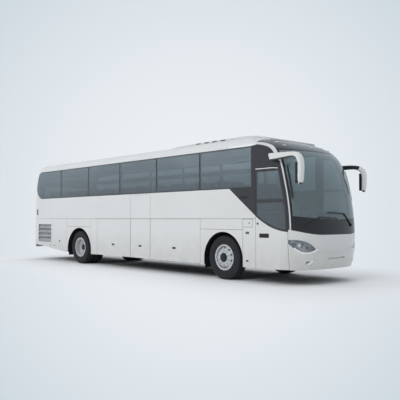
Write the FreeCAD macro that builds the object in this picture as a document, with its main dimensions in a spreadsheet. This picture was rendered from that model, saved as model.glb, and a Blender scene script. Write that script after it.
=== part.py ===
import FreeCAD, Part
import math
import os
import Sketcher
from FreeCAD import Vector

# A twelve metre touring coach, in millimetres: +X is forward, +Y is the coach's left, +Z is up,
# and the origin lies on the ground under the middle of the whole outline.

SIZES = {
    # the whole body
    "body_length": 12000,
    "body_width": 2500,
    "roof_height": 3350,
    "mirror_reach": 100,
    "wheelbase": 6500,
    "front_overhang": 2350,
    "wall": 50,
    "door_thickness": 40,
    "glass_thickness": 8,
    "glass_lap": 38,
    "seam": 7,
    "seat_gap": 0.3,
    "inner_clearance": 10,
    "overrun": 120,
    "cant_radius": 210,
    "roof_rise": 60,
    # heights of the main lines
    "skirt_height": 335,
    "belt_height": 1430,
    "band_bottom": 2125,
    "band_top": 3066,
    "cant_height": 3078,
    "windshield_top": 2970,
    "windshield_bottom": 1085,
    "windshield_flat": 500,
    "windshield_corner_rise": 130,
    "frame_lip": 45,
    "tail_rise": 200,
    "tail_rise_length": 2300,
    # places along the side, from the front axle forward
    "cap_rear": 200,
    "arch_front_seam": 640,
    "door_rear": 1027,
    "door_front": 1905,
    "door_top": 2520,
    "pillar_width": 56,
    "pillar_inside": 900,
    "band_front": 925,
    "band_length": 10335,
    "band_end_radius": 400,
    "dark_paint_low": 1147,
    "pillar_groove": 50,
    # places along the side, from the front axle back
    "arch_rear_seam": 780,
    "flap_one_length": 2010,
    "flap_two_length": 920,
    "flap_three_length": 1730,
    "tail_seam": 170,
    # seams pressed into the panels, from the front axle back and above the ground
    "groove_depth": 8,
    "arch_panel_top": 1180,
    "rear_arch_panel_front": 5810,
    "rear_arch_panel_rear": 7270,
    "tail_panel_front": 8270,
    "fuel_flap_front": 941,
    "fuel_flap_bottom": 1244,
    "fuel_flap_top": 1423,
    "latch_width": 130,
    "latch_height": 50,
    "latch_depth": 12,
    "latch_up": 650,
    # marks pressed into the bumper
    "smile_width": 12,
    "bumper_slot_height": 34,
    # the doors
    "door_bar_height": 1820,
    "door_bar": 60,
    "door_frame": 45,
    "arm_pivot_behind": 145,
    "arm_pivot_depth": 150,
    "arm_length": 520,
    "arm_pillar_radius": 24,
    "arm_pillar_top": 1620,
    "arm_low": 700,
    "arm_high": 1380,
    "arm_width": 40,
    "arm_thickness": 26,
    "arm_eye_radius": 30,
    "lug_thickness": 14,
    # the floors
    "floor_height": 1250,
    "floor_thickness": 30,
    "floor_front": 1020,
    "sill_height": 1415,
    "sill_width": 40,
    "platform_height": 1000,
    "step_count": 3,
    "step_depth": 285,
    "step_plate": 30,
    "step_front": 1905,
    "platform_front": 2120,
    "hold_floor": 450,
    "hold_plate": 30,
    # the arches
    "arch_half_width": 640,
    "arch_top": 1124,
    "rear_arch_half_width": 710,
    "rear_arch_top": 1140,
    "housing_plate": 12,
    "housing_gap": 14,
    "front_housing_depth": 690,
    "rear_housing_depth": 680,
    # the wheels
    "tyre_radius": 520,
    "tyre_width": 290,
    "rim_radius": 286,
    "rim_width": 230,
    "rim_plate": 12,
    "rim_lip": 17,
    "disc_weld": 23,
    "disc_plate": 14,
    "front_disc_out": 132,
    "rear_disc_in": 158,
    "stud_circle": 167.5,
    "stud_count": 10,
    "nut_radius": 17,
    "nut_height": 26,
    "hand_hole_radius": 24,
    "hand_hole_circle": 228,
    "hub_radius": 140,
    "hub_cap_radius": 82,
    "hub_cap_length": 34,
    "hub_cap_end": 73.8,
    "wheel_middle": 1075,
    "twin_spacing": 330,
    # the axles
    "kingpin_offset": 930,
    "kingpin_radius": 22,
    "pin_clearance": 0.1,
    "kingpin_boss_radius": 52,
    "kingpin_boss_height": 150,
    "lug_gap": 0.5,
    "knuckle_lug": 40,
    "knuckle_back": 70,
    "knuckle_plate": 34,
    "knuckle_width": 130,
    "spindle_radius": 42,
    "spindle_length": 150,
    "beam_height": 120,
    "beam_width": 110,
    "axle_tube_radius": 72,
    "axle_bowl_radius": 215,
    "axle_bowl_width": 330,
    "axle_half_length": 850,
    "bellows_radius": 100,
    "rear_bellows_reach": 450,
    "spring_beam_height": 70,
    # the chassis
    "rail_bottom": 800,
    "rail_height": 140,
    "rail_width": 80,
    "rail_offset": 405,
    "horn_offset": 260,
    "horn_rear": 980,
    "rail_front": 2020,
    "axle_slot": 160,
    "cross_width": 80,
    "tow_eye_radius": 20,
    "tow_eye_width": 120,
    "tow_eye_thickness": 40,
    "tow_eye_drop": 330,
    "engine_length": 1400,
    "engine_width": 690,
    "engine_bottom": 430,
    "engine_height": 740,
    "engine_from_tail": 300,
    # the tail
    "engine_door_bottom": 640,
    "engine_door_top": 1560,
    "engine_door_half_width": 880,
    "bumper_top": 630,
    "rear_window_bottom": 2150,
    "rear_window_top": 2950,
    "rear_window_half_width": 930,
    "tail_lamp_bottom": 760,
    "tail_lamp_top": 1500,
    "tail_lamp_inner": 985,
    "tail_lamp_width": 110,
    "lamp_depth": 30,
    "grille_from_tail": 380,
    "grille_length": 930,
    "grille_bottom": 630,
    "grille_height": 610,
    "louvre_count": 4,
    # the roof
    "unit_half_width": 850,
    "unit_rise": 24,
    "unit_shoulder": 90,
    "slot_count": 4,
    "slot_first": 310,
    "slot_length": 170,
    "slot_height": 26,
    "slot_depth": 30,
    "slot_pitch": 300,
    "slot_height_up": 3348,
    "hatch_ahead": 1050,
    "hatch_size": 640,
    "hatch_height": 36,
    "hatch_lip": 30,
    "curb_rise": 14,
    # inside
    "seat_pitch": 830,
    "seat_rows": 11,
    "seat_width": 960,
    "seat_height": 1130,
    "seat_depth": 470,
    "seat_first": 320,
    "seat_from_wall": 40,
    "rack_bottom": 2720,
    "rack_depth": 420,
    "rack_height": 190,
    "wheel_rim_radius": 235,
    "wheel_rim_tube": 16,
    "wheel_rake": 35,
    "column_length": 188,
    "spoke_radius": 12.8,
    "dash_depth": 420,
    "dash_width": 1562.5,
    "dash_right": 312.5,
    "dash_hood": 150,
    # mirrors and wipers
    "mirror_arm_height": 170,
    "mirror_head_width": 130,
    "mirror_corner": 0.6,
    "mirror_spread": 205,
    "mirror_left_back": 226,
    "wiper_radius": 9,
    "wiper_clearance": 4,
}

# Outline shares: lengths are shares of the front overhang, heights of the roof's height
FRONT_PROFILE_SHARES = [(0.068, 0.06), (0.018, 0.125), (-0.006, 0.24), (-0.006, 0.403), (0.036, 0.612),
                        (0.119, 0.806), (0.272, 0.932), (0.617, 0.994), (1.07, 1.027)]
FRONT_PLAN_SHARES = [(0.0, 0.0), (0.5, 0.018), (0.868, 0.098), (1.0096, 0.21), (1.064, 0.41)]
REAR_PROFILE_SHARES = [(0.035, 0.06), (0.006, 0.134), (0.0, 0.24), (0.0, 0.448), (0.016, 0.687),
                       (0.048, 0.866), (0.133, 0.976), (0.381, 1.024)]
REAR_PLAN_SHARES = [(0.0, 0.0), (0.72, 0.0013), (0.952, 0.006), (1.0096, 0.04), (1.048, 0.12)]
PILLAR_SHARES = [(0.04, 0.9375), (0.17, 0.9376), (0.28, 0.9373), (0.385, 0.9355), (0.478, 0.929),
                 (0.597, 0.898), (0.659, 0.852), (0.701, 0.801), (0.7577, 0.6746), (0.798, 0.5394),
                 (0.8193, 0.406), (0.8215, 0.31)]
BLACK_EDGE_SHARES = [(0.09, 0.6343), (0.434, 0.446), (0.523, 0.4063), (0.655, 0.3648)]
LAMP_SHARES = [(0.992, 0.2925), (0.776, 0.285), (0.56, 0.2328), (0.744, 0.2042)]
FOG_SHARES = [(0.64, 0.1567), (0.72, 0.1567), (0.72, 0.1367)]
SMILE_SHARES = [(-0.53, 0.2275), (-0.224, 0.2185), (0.0, 0.2175), (0.224, 0.2185), (0.53, 0.2275)]
BUMPER_SLOT_SHARES = [(-0.25, 0.171), (0.25, 0.171)]
UNIT_TOP_SHARES = [(-1.19, 0.979), (-0.8, 0.9975), (-0.385, 1.0101), (-0.056, 1.0161), (0.107, 1.0096),
                   (0.379, 0.9866), (0.477, 0.967)]
SEAT_SHARES = [(0.22, 0.0), (0.64, 0.0), (0.64, 0.31), (1.0, 0.33), (1.0, 0.42), (0.13, 0.39),
               (-0.25, 1.0), (-0.46, 0.98), (-0.13, 0.29), (0.22, 0.27)]
TYRE_SHARES = [(0.5, 0.49), (0.45, 0.93), (0.36, 1.0)]

os.makedirs("parts", exist_ok=True)
doc = FreeCAD.newDocument("coach_bus")
sheet = doc.addObject("Spreadsheet::Sheet", "Size")
for row, (name, amount) in enumerate(SIZES.items(), 1):
    sheet.set("A%d" % row, str(amount))
    sheet.setAlias("A%d" % row, name)
doc.recompute()


class Reader:
    """Reads a named size from the sheet."""

    def __getattr__(self, name):
        return float(sheet.get(name))


size = Reader()

# Places worked out from the sizes, as formulas and as numbers
NOSE = "((Size.body_length - Size.mirror_reach) / 2)"
TAIL = "(%s - Size.body_length)" % NOSE
FRONT_AXLE = "(%s - Size.front_overhang)" % NOSE
REAR_AXLE = "(%s - Size.wheelbase)" % FRONT_AXLE
HALF = "(Size.body_width / 2)"


def amount_of(formula):
    return float(sheet.evalExpression(formula))


nose = amount_of(NOSE)
tail = amount_of(TAIL)
front_axle = amount_of(FRONT_AXLE)
rear_axle = amount_of(REAR_AXLE)
half = amount_of(HALF)
rear_overhang = rear_axle - tail
finished = []


# Helpers for objects of the document

def bound(kind, name, **formulas):
    """A document object whose sizes and place follow formulas of the sheet."""
    item = doc.addObject(kind, name)
    places = {"X": "Placement.Base.x", "Y": "Placement.Base.y", "Z": "Placement.Base.z"}
    for key, formula in formulas.items():
        item.setExpression(places.get(key, key), formula)
    return item


def box(name, length, width, height, x, y, z):
    return bound("Part::Box", name, Length=length, Width=width, Height=height, X=x, Y=y, Z=z)


def rod(name, radius, height, x, y, z, along="Z"):
    """A cylinder from a point along Z, along +Y or along -Y."""
    item = bound("Part::Cylinder", name, Radius=radius, Height=height, X=x, Y=y, Z=z)
    turns = {"Z": 0, "Y": -90, "-Y": 90, "-Z": 180}
    if turns[along]:
        item.Placement.Rotation = FreeCAD.Rotation(Vector(1, 0, 0), turns[along])
    return item


def fused(name, items):
    item = doc.addObject("Part::MultiFuse", name)
    item.Shapes = items
    item.Refine = True
    return item


def minus(name, base, tool):
    item = doc.addObject("Part::Cut", name)
    item.Base = base
    item.Tool = tool
    return item


def shared(name, base, tool):
    item = doc.addObject("Part::Common", name)
    item.Base = base
    item.Tool = tool
    return item


def together(name, items):
    item = doc.addObject("Part::Compound", name)
    item.Links = items
    return item


def mirrored(name, source):
    item = doc.addObject("Part::Mirroring", name)
    item.Source = source
    item.Normal = Vector(0, 1, 0)
    return item


def feature(name, shape):
    item = doc.addObject("Part::Feature", name)
    item.Shape = shape
    return item


def keep(label, item):
    """Names a finished sub-part after its node."""
    item.Label = label
    finished.append(item)
    return item


def plane(body, role):
    return next(part for part in body.Origin.OriginFeatures if part.Role == role)


def sketch_on(body, name, role, corners):
    """A closed outline of formulas on one of the body's planes, each corner set from the origin."""
    sketch = body.newObject("Sketcher::SketchObject", name)
    sketch.AttachmentSupport = (plane(body, role), [""])
    sketch.MapMode = "FlatFace"
    points = [Vector(amount_of(across), amount_of(up), 0) for across, up in corners]
    for place, point in enumerate(points):
        sketch.addGeometry(Part.LineSegment(point, points[(place + 1) % len(points)]), False)
    for place in range(len(points)):
        sketch.addConstraint(Sketcher.Constraint("Coincident", place, 2, (place + 1) % len(points), 1))
    for place, (across, up) in enumerate(corners):
        for kind, formula, axis in (("DistanceX", across, -2), ("DistanceY", up, -1)):
            if formula == "0":
                sketch.addConstraint(Sketcher.Constraint("PointOnObject", place, 1, axis))
            else:
                made = sketch.addConstraint(
                    Sketcher.Constraint(kind, -1, 1, place, 1, amount_of(formula)))
                sketch.setExpression("Constraints[%d]" % made, formula)
    return sketch


def turned(name, corners):
    """A body turned round the Y axis: corners are (along the axle, radius)."""
    body = doc.addObject("PartDesign::Body", name)
    sketch = sketch_on(body, name + "_profile", "YZ_Plane", corners)
    turn = body.newObject("PartDesign::Revolution", name + "_turn")
    turn.Profile = sketch
    turn.ReferenceAxis = (sketch, ["H_Axis"])
    turn.Angle = 360
    doc.recompute()
    return body


def ring_of(body, name, role, axis, count, radius, across, up):
    """Round holes spread evenly about an axis."""
    sketch = body.newObject("Sketcher::SketchObject", name + "_circle")
    sketch.AttachmentSupport = (plane(body, role), [""])
    sketch.MapMode = "FlatFace"
    middle = Vector(amount_of(across), amount_of(up), 0)
    sketch.addGeometry(Part.Circle(middle, Vector(0, 0, 1), amount_of(radius)), False)
    made = sketch.addConstraint(Sketcher.Constraint("Radius", 0, amount_of(radius)))
    sketch.setExpression("Constraints[%d]" % made, radius)
    made = sketch.addConstraint(Sketcher.Constraint("DistanceY", -1, 1, 0, 3, amount_of(up)))
    sketch.setExpression("Constraints[%d]" % made, up)
    sketch.addConstraint(Sketcher.Constraint("PointOnObject", 0, 3, -2))
    cut = body.newObject("PartDesign::Pocket", name)
    cut.Type = "ThroughAll"
    cut.Midplane = True
    cut.Profile = sketch
    doc.recompute()
    pattern = body.newObject("PartDesign::PolarPattern", name + "_ring")
    pattern.Originals = [cut]
    pattern.Axis = (plane(body, axis), [""])
    pattern.Angle = 360
    pattern.setExpression("Occurrences", count)
    body.Tip = pattern
    doc.recompute()
    return body


# Helpers for shapes worked out in code

def in_side(point):
    return Vector(point[0], 0, point[1])


def in_front(point):
    return Vector(0, point[0], point[1])


class Smooth(list):
    """A run of points joined by one curve."""


def flat_face(place, *runs):
    """A face whose edge goes through the runs in turn; place puts a pair of lengths in space."""
    edges = []
    for number, run in enumerate(runs):
        points = [place(point) for point in run]
        if isinstance(run, Smooth):
            curve = Part.BSplineCurve()
            curve.interpolate(points)
            edges.append(curve.toShape())
        else:
            edges += [Part.makeLine(start, end) for start, end in zip(points, points[1:])]
        following = place(runs[(number + 1) % len(runs)][0])
        if points[-1].distanceToPoint(following) > size.seat_gap:
            edges.append(Part.makeLine(points[-1], following))
    return Part.Face(Part.Wire(Part.__sortEdges__(edges)))


def across_body(face, side=None):
    """A prism over a face of the side view: over one side, or right across."""
    reach = half + size.overrun
    if side is None:
        face = face.translated(Vector(0, -reach, 0))
        return face.extrude(Vector(0, reach * 2, 0))
    return face.extrude(Vector(0, reach * side, 0))


def block(low, high):
    return Part.makeBox(high[0] - low[0], high[1] - low[1], high[2] - low[2], Vector(*low))


def side_points(shares):
    """Points of the side view from shares of the front overhang and the roof's height."""
    return [(front_axle + along * size.front_overhang, up * size.roof_height) for along, up in shares]


def shifted(points, distance):
    """The points of a line moved square to it, to the right of its course."""
    moved = []
    for place, point in enumerate(points):
        before = points[max(place - 1, 0)]
        after = points[min(place + 1, len(points) - 1)]
        along, up = after[0] - before[0], after[1] - before[1]
        length = math.hypot(along, up)
        moved.append((point[0] + up / length * distance, point[1] - along / length * distance))
    return moved


# The outer form: a rounded section along the body, closed by a curved nose and a curved tail

def section(depth):
    """The body's section, a given depth inside its skin, as a prism along the whole body."""
    width = half - depth
    radius = size.cant_radius - depth
    cant = size.roof_height - size.roof_rise - size.cant_radius
    across = width - radius
    up = radius + size.roof_rise
    crown_radius = (across ** 2 + up ** 2 - radius ** 2) / (2 * (up - radius))
    top = cant + up
    crown_middle = Vector(0, 0, top - crown_radius)
    corner_middle = Vector(0, across, cant)
    outward = (corner_middle - crown_middle).normalize()
    meet = crown_middle + outward * crown_radius
    half_turn = math.atan2(outward.z, outward.y) / 2
    bend = corner_middle + Vector(0, math.cos(half_turn), math.sin(half_turn)) * radius
    side = Vector(0, width, cant)
    foot = Vector(0, width, 0)

    def other(point):
        return Vector(0, -point.y, point.z)

    edges = [Part.makeLine(other(foot), foot), Part.makeLine(foot, side),
             Part.Arc(side, bend, meet).toShape(),
             Part.Arc(meet, Vector(0, 0, top), other(meet)).toShape(),
             Part.Arc(other(meet), other(bend), other(side)).toShape(),
             Part.makeLine(other(side), other(foot))]
    face = Part.Face(Part.Wire(edges)).translated(Vector(tail - size.overrun, 0, 0))
    return face.extrude(Vector(size.body_length + size.overrun * 2, 0, 0))


def end_form(profile, plan, length, end, outward, depth):
    """The space behind a curved nose or tail: one curve carried along another."""
    falls = [(along * length + depth, up * size.roof_height - depth) for along, up in profile]
    widths = [(across * half, back * length) for across, back in plan]
    widths = [(-across, back) for across, back in reversed(widths[1:])] + widths
    poles = [[Vector(end - outward * (back + along), across, up) for across, back in widths]
             for along, up in falls]
    degree = 3
    knots = []
    for count in (len(falls), len(widths)):
        spans = count - degree
        knots.append(([degree + 1] + [1] * (spans - 1) + [degree + 1], [float(k) for k in range(spans + 1)]))
    surface = Part.BSplineSurface()
    surface.buildFromPolesMultsKnots(poles, knots[0][0], knots[1][0], knots[0][1], knots[1][1],
                                     False, False, degree, degree)
    reach = size.body_length + size.overrun
    return surface.toShape().extrude(Vector(-outward * reach, 0, 0))


def hull(depth):
    """The whole body's form, a given depth inside its skin."""
    front = end_form(FRONT_PROFILE_SHARES, FRONT_PLAN_SHARES, size.front_overhang, nose, 1, depth)
    rear = end_form(REAR_PROFILE_SHARES, REAR_PLAN_SHARES, rear_overhang, tail, -1, depth)
    return section(depth).common(front).common(rear)


outer = hull(0)
behind_glass = hull(size.glass_thickness)
behind_lamp = hull(size.lamp_depth)
behind_door = hull(size.door_thickness)
inner = hull(size.wall)
shell = outer.cut(inner)
door_shell = outer.cut(behind_door)
skin = outer.cut(behind_glass)
inner_form = feature("inner_form", inner)
clear_form = feature("clear_form", hull(size.wall + size.inner_clearance))

far_front = nose + size.overrun
far_top = size.roof_height + size.overrun
door_rear = front_axle + size.door_rear
door_front = front_axle + size.door_front
cap_rear = front_axle + size.cap_rear
tail_seam = tail + size.tail_seam
arch_front = front_axle + size.arch_front_seam
arch_rear = front_axle - size.arch_rear_seam
bay_places = [arch_rear, arch_rear - size.flap_one_length,
              arch_rear - size.flap_one_length - size.flap_two_length,
              arch_rear - size.flap_one_length - size.flap_two_length - size.flap_three_length]
bay_rear = bay_places[-1]
band_front = front_axle + size.band_front
band_rear = band_front - size.band_length

pillar_line = side_points(PILLAR_SHARES)
black_edge = side_points(BLACK_EDGE_SHARES) + [(door_front, size.dark_paint_low)]


# The form above a line of the front view: the windshield's lower edge

def above_fascia(lift):
    """The space ahead of the front axle above the windshield's lower edge, lifted by some amount."""
    reach = half + size.overrun
    low = size.windshield_bottom + lift
    run = reach - size.windshield_flat
    rise = size.windshield_corner_rise * (run / (half - size.windshield_flat)) ** 2
    corner = low + rise
    bend = (size.windshield_flat + run / 2, low + rise / 4)
    right = Smooth([(size.windshield_flat, low), bend, (reach, corner)])
    left = Smooth([(-reach, corner), (-bend[0], bend[1]), (-size.windshield_flat, low)])
    face = flat_face(in_front, right, [(reach, far_top), (-reach, far_top)], left)
    return face.translated(Vector(front_axle, 0, 0)).extrude(Vector(far_front - front_axle, 0, 0))


over_fascia = above_fascia(0)


def behind_pillar(distance):
    """All that lies behind and below a line beside the pillar's middle, ahead of it by a distance."""
    line = shifted(pillar_line, -distance)
    low, back = -size.overrun, tail - size.overrun
    return across_body(flat_face(in_side, Smooth(line), [(line[-1][0], low), (back, low),
                                                         (back, line[0][1])]))


pillar_reach = size.pillar_width / 2
behind_outer_edge = behind_pillar(pillar_reach)
behind_inner_edge = behind_pillar(-pillar_reach)


def whole_width(rear, low, front, high):
    """A block right across the body between two places and two heights."""
    reach = half + size.overrun
    return block((rear, -reach, low), (front, reach, high))


# Seams: grooves pressed into the skin between panels that stay one piece

behind_groove = hull(size.groove_depth)


def side_groove(start, end, side):
    """The groove on one side along an upright or level line of the side view."""
    width = size.seam / 2
    reach = side * (half + size.overrun)
    return block((start[0] - width, min(0, reach), start[1] - width),
                 (end[0] + width, max(0, reach), end[1] + width)).cut(behind_groove)


def grooved(shape, side, lines):
    for start, end in lines:
        shape = shape.cut(side_groove(start, end, side))
    return shape


# Roof, cap, pillars and windshield: the pillars take the sides of the body only

between_pillars = block((tail - size.overrun, -size.pillar_inside, 0),
                        (far_front, size.pillar_inside, far_top))
pillar_side = behind_outer_edge.cut(between_pillars)


def roof_shape():
    opening_middle = rear_axle + size.hatch_ahead
    reach = size.hatch_size / 2 - size.hatch_lip
    white = block((tail - size.overrun, -half - size.overrun, size.cant_height),
                  (cap_rear, half + size.overrun, far_top))
    hatch = block((opening_middle - reach, -reach, size.cant_height),
                  (opening_middle + reach, reach, far_top))
    curb_reach = size.hatch_size / 2
    curb = block((opening_middle - curb_reach, -curb_reach, size.roof_height - size.wall),
                 (opening_middle + curb_reach, curb_reach, size.roof_height + size.curb_rise))
    return shell.common(white).fuse(curb.cut(inner)).cut(hatch).removeSplitter()


def cap_shape():
    region = whole_width(cap_rear, size.windshield_top, far_front, far_top)
    return shell.common(region).cut(pillar_side)


def windshield_space(inset):
    """The windshield's region ahead of the pillars, its edges drawn in by some amount."""
    region = whole_width(front_axle, size.belt_height / 2, far_front, size.windshield_top - inset)
    return region.common(above_fascia(inset)).cut(behind_pillar(pillar_reach + inset))


windshield_form = windshield_space(0)


def frame_shape():
    """The white pillar strips on both sides, joined by the lip that the windshield is bonded to."""
    region = whole_width(cap_rear, size.belt_height / 2, far_front, far_top)
    strips = shell.common(region).common(pillar_side).cut(behind_inner_edge)
    upper = strips.common(whole_width(cap_rear, size.belt_height, far_front, far_top))
    lower = strips.cut(upper).common(over_fascia)
    strips = upper.fuse(lower)
    lip = behind_glass.cut(inner).common(windshield_form).cut(windshield_space(size.frame_lip))
    return strips.fuse(lip).removeSplitter()


def fascia_shape():
    """The white front below the windshield, with the openings for its lamps."""
    region = block((door_front, -half - size.overrun, size.skirt_height),
                   (far_front, half + size.overrun, size.roof_height / 2))
    front = shell.common(region).cut(over_fascia)
    for tool in lamp_forms():
        front = front.cut(tool)
    smile = [(across * half, up * size.roof_height) for across, up in SMILE_SHARES]
    slot = [(across * half, up * size.roof_height) for across, up in BUMPER_SLOT_SHARES]
    for start, end in zip(smile, smile[1:]):
        front = front.cut(front_strip(start, end, size.smile_width).cut(behind_groove))
    front = front.cut(front_strip(*slot, size.bumper_slot_height).cut(behind_lamp))
    groove = door_front + size.pillar_groove
    for side in (-1, 1):
        front = grooved(front, side, [((groove, size.skirt_height), (groove, size.windshield_bottom))])
    return front


def front_strip(start, end, width):
    """A prism along the coach over a straight strip of the front view."""
    edge = shifted([start, end], width / 2) + shifted([end, start], width / 2)
    face = flat_face(in_front, edge + [edge[0]]).translated(Vector(door_front, 0, 0))
    return face.extrude(Vector(far_front - door_front, 0, 0))


def lamp_forms():
    """Prisms through the nose over the leaf-shaped headlamps and the fog lamps."""
    forms = []
    for side in (-1, 1):
        for shares, smooth in ((LAMP_SHARES, True), (FOG_SHARES, False)):
            points = [(side * across * half, up * size.roof_height) for across, up in shares]
            if smooth:
                tip, top, root, belly = points
                crest = ((tip[0] + root[0]) / 2, (top[1] + tip[1]) / 2)
                runs = [Smooth([tip, top, root]), Smooth([root, belly, tip])]
            else:
                runs = [points]
            face = flat_face(in_front, *runs).translated(Vector(door_front, 0, 0))
            forms.append(face.extrude(Vector(far_front - door_front, 0, 0)))
    return forms


keep("roof", feature("roof", roof_shape()))
keep("front_cap", feature("front_cap", cap_shape()))
keep("windshield_frame", feature("windshield_frame", frame_shape()))
keep("windshield", feature("windshield", skin.common(windshield_form)))
keep("front_fascia", feature("front_fascia", fascia_shape()))
lamps = Part.Compound([outer.cut(behind_lamp).common(form) for form in lamp_forms()])
keep("front_lamps", feature("front_lamps", lamps))


# The sides

def band_face():
    """The window band of one side, rounded at its rear end."""
    radius = size.band_end_radius
    bow = radius * (1 - math.sqrt(0.5))
    low, high = size.band_bottom, size.band_top
    edges = [Part.makeLine(in_side((band_front, low)), in_side((band_front, high))),
             Part.makeLine(in_side((band_front, high)), in_side((band_rear + radius, high))),
             Part.Arc(in_side((band_rear + radius, high)), in_side((band_rear + bow, high - bow)),
                      in_side((band_rear, high - radius))).toShape(),
             Part.makeLine(in_side((band_rear, high - radius)), in_side((band_rear, low + radius))),
             Part.Arc(in_side((band_rear, low + radius)), in_side((band_rear + bow, low + bow)),
                      in_side((band_rear + radius, low))).toShape(),
             Part.makeLine(in_side((band_rear + radius, low)), in_side((band_front, low)))]
    return Part.Face(Part.Wire(edges))


PANE_COUNT = 6
band = band_face()
pane_pitch = size.band_length / PANE_COUNT


def pane_faces(inset):
    """The panes of one side's band, each drawn in by some amount."""
    faces = []
    for place in range(PANE_COUNT):
        front = band_front - place * pane_pitch
        strip = block((front - pane_pitch, -size.overrun, size.band_bottom - size.overrun),
                      (front, size.overrun, size.band_top + size.overrun))
        faces.append(band.common(strip).Faces[0].makeOffset2D(-inset))
    return faces


def black_region(side):
    """The dark panel's space between the side windows, the roof and the windshield pillar."""
    reach = side * (half + size.overrun)
    high = size.cant_height
    edge = [(black_edge[0][0], size.band_bottom)]
    if side < 0:
        edge += [(door_rear, black_edge[1][1]), (door_rear, size.door_top), (far_front, size.door_top)]
    else:
        edge += [(door_rear, black_edge[1][1])] + black_edge[2:]
        edge += [(door_front, size.belt_height), (far_front, size.belt_height)]
    face = flat_face(in_side, edge, [(far_front, high), (band_front, high), (band_front, size.band_bottom)])
    return across_body(face, side).common(behind_inner_edge)


def driver_window_space(inset):
    """The driver's side window, which leans back along the pillar."""
    frame = size.door_frame + inset
    low = black_edge[1][1] + frame
    region = block((door_rear + frame, 0, low),
                   (far_front, half + size.overrun, size.windshield_top - frame))
    return region.common(behind_pillar(-pillar_reach - frame))


def side_wall_shape(side):
    """The white wall between the belt and the roof, with a rebate and an opening for each pane."""
    region = block((tail_seam, min(0, side * (half + size.overrun)), size.belt_height),
                   (door_rear, max(0, side * (half + size.overrun)), size.cant_height))
    wall = shell.common(region).common(behind_inner_edge).cut(black_region(side))
    for pane in pane_faces(0):
        wall = wall.cut(skin.common(across_body(pane, side)))
    for opening in pane_faces(size.glass_lap):
        wall = wall.cut(across_body(opening, side))
    seams = [((tail_seam, size.belt_height), (door_rear, size.belt_height))]
    seams += [((place, size.belt_height), (place, size.band_bottom)) for place in bay_places[1:3]]
    return grooved(wall, side, seams)


def pane_shapes():
    """The panes of both sides: those along the saloon with the driver's window, and the rearmost."""
    panes = [[skin.common(across_body(pane, side)) for pane in pane_faces(size.seam / 2)]
             for side in (-1, 1)]
    driver_window = skin.common(driver_window_space(size.seam / 2))
    along = panes[0][:-1] + panes[1][:-1] + [driver_window]
    return Part.Compound(along), Part.Compound([row[-1] for row in panes])


def black_panel_shape():
    """The dark panels of both sides, the left one with the driver's window."""
    right = shell.common(black_region(-1))
    left = shell.common(black_region(1)).cut(skin.common(driver_window_space(0)))
    left = left.cut(driver_window_space(size.glass_lap))
    return Part.Compound([right, left])


def arch_face(middle, half_width, top):
    """A wheel arch: a round head on straight sides, open to the skirt's edge."""
    low = size.skirt_height - size.overrun
    spring = size.tyre_radius
    radius = (half_width ** 2 + (top - spring) ** 2) / (2 * (top - spring))
    centre = top - radius
    lean = math.asin(half_width / radius) / 2
    points = [(middle + turn * radius * math.sin(lean), centre + radius * math.cos(lean))
              for turn in (-1, 1)]
    edges = [Part.makeLine(in_side((middle - half_width, low)), in_side((middle - half_width, spring))),
             Part.Arc(in_side((middle - half_width, spring)), in_side(points[0]),
                      in_side((middle, top))).toShape(),
             Part.Arc(in_side((middle, top)), in_side(points[1]),
                      in_side((middle + half_width, spring))).toShape(),
             Part.makeLine(in_side((middle + half_width, spring)), in_side((middle + half_width, low))),
             Part.makeLine(in_side((middle + half_width, low)), in_side((middle - half_width, low)))]
    return Part.Face(Part.Wire(edges))


front_arch = arch_face(front_axle, size.arch_half_width, size.arch_top)
rear_arch = arch_face(rear_axle, size.rear_arch_half_width, size.rear_arch_top)


def skirt_shape(side):
    """The fixed lower panels of one side, with the wheel arches; the tail's edge rises."""
    reach = half + size.overrun
    front = shell.common(block((arch_rear, min(0, side * reach), size.skirt_height),
                               (door_rear, max(0, side * reach), size.belt_height)))
    front = front.cut(across_body(front_arch, side))
    if side > 0:
        ahead = shell.common(block((door_rear, 0, size.skirt_height),
                                   (door_front, reach, black_edge[1][1])))
        ahead = ahead.common(behind_inner_edge).cut(black_region(1))
        front = front.fuse(ahead).removeSplitter()
    seams = [((arch_rear, size.arch_panel_top), (arch_front, size.arch_panel_top)),
             ((arch_front, size.skirt_height), (arch_front, size.belt_height)),
             ((arch_rear, size.belt_height), (door_rear, size.belt_height))]
    fuel_flap = [front_axle + size.arch_front_seam, front_axle + size.fuel_flap_front,
                 size.fuel_flap_bottom, size.fuel_flap_top]
    seams += [((fuel_flap[0], level), (fuel_flap[1], level)) for level in fuel_flap[2:]]
    seams.append(((fuel_flap[1], fuel_flap[2]), (fuel_flap[1], fuel_flap[3])))
    front = grooved(front, side, seams)
    rear_edge = size.skirt_height + size.tail_rise
    region = flat_face(in_side, [(bay_rear, size.skirt_height), (bay_rear, size.belt_height),
                                 (tail_seam, size.belt_height), (tail_seam, rear_edge),
                                 (tail + size.tail_rise_length, size.skirt_height)])
    rear = shell.common(across_body(region, side)).cut(across_body(rear_arch, side))
    if side < 0:
        rear = rear.cut(grille_opening())
    places = [front_axle - back for back in (size.rear_arch_panel_front, size.rear_arch_panel_rear,
                                             size.tail_panel_front)]
    seams = [((place, size.skirt_height), (place, size.belt_height)) for place in places]
    seams += [((places[1], size.arch_panel_top), (places[0], size.arch_panel_top)),
              ((tail_seam, size.belt_height), (bay_rear, size.belt_height))]
    return Part.Compound([front, grooved(rear, side, seams)])


def grille_opening():
    start = tail + size.grille_from_tail
    return block((start, -half - size.overrun, size.grille_bottom),
                 (start + size.grille_length, -half + size.wall * 2,
                  size.grille_bottom + size.grille_height))


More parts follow.
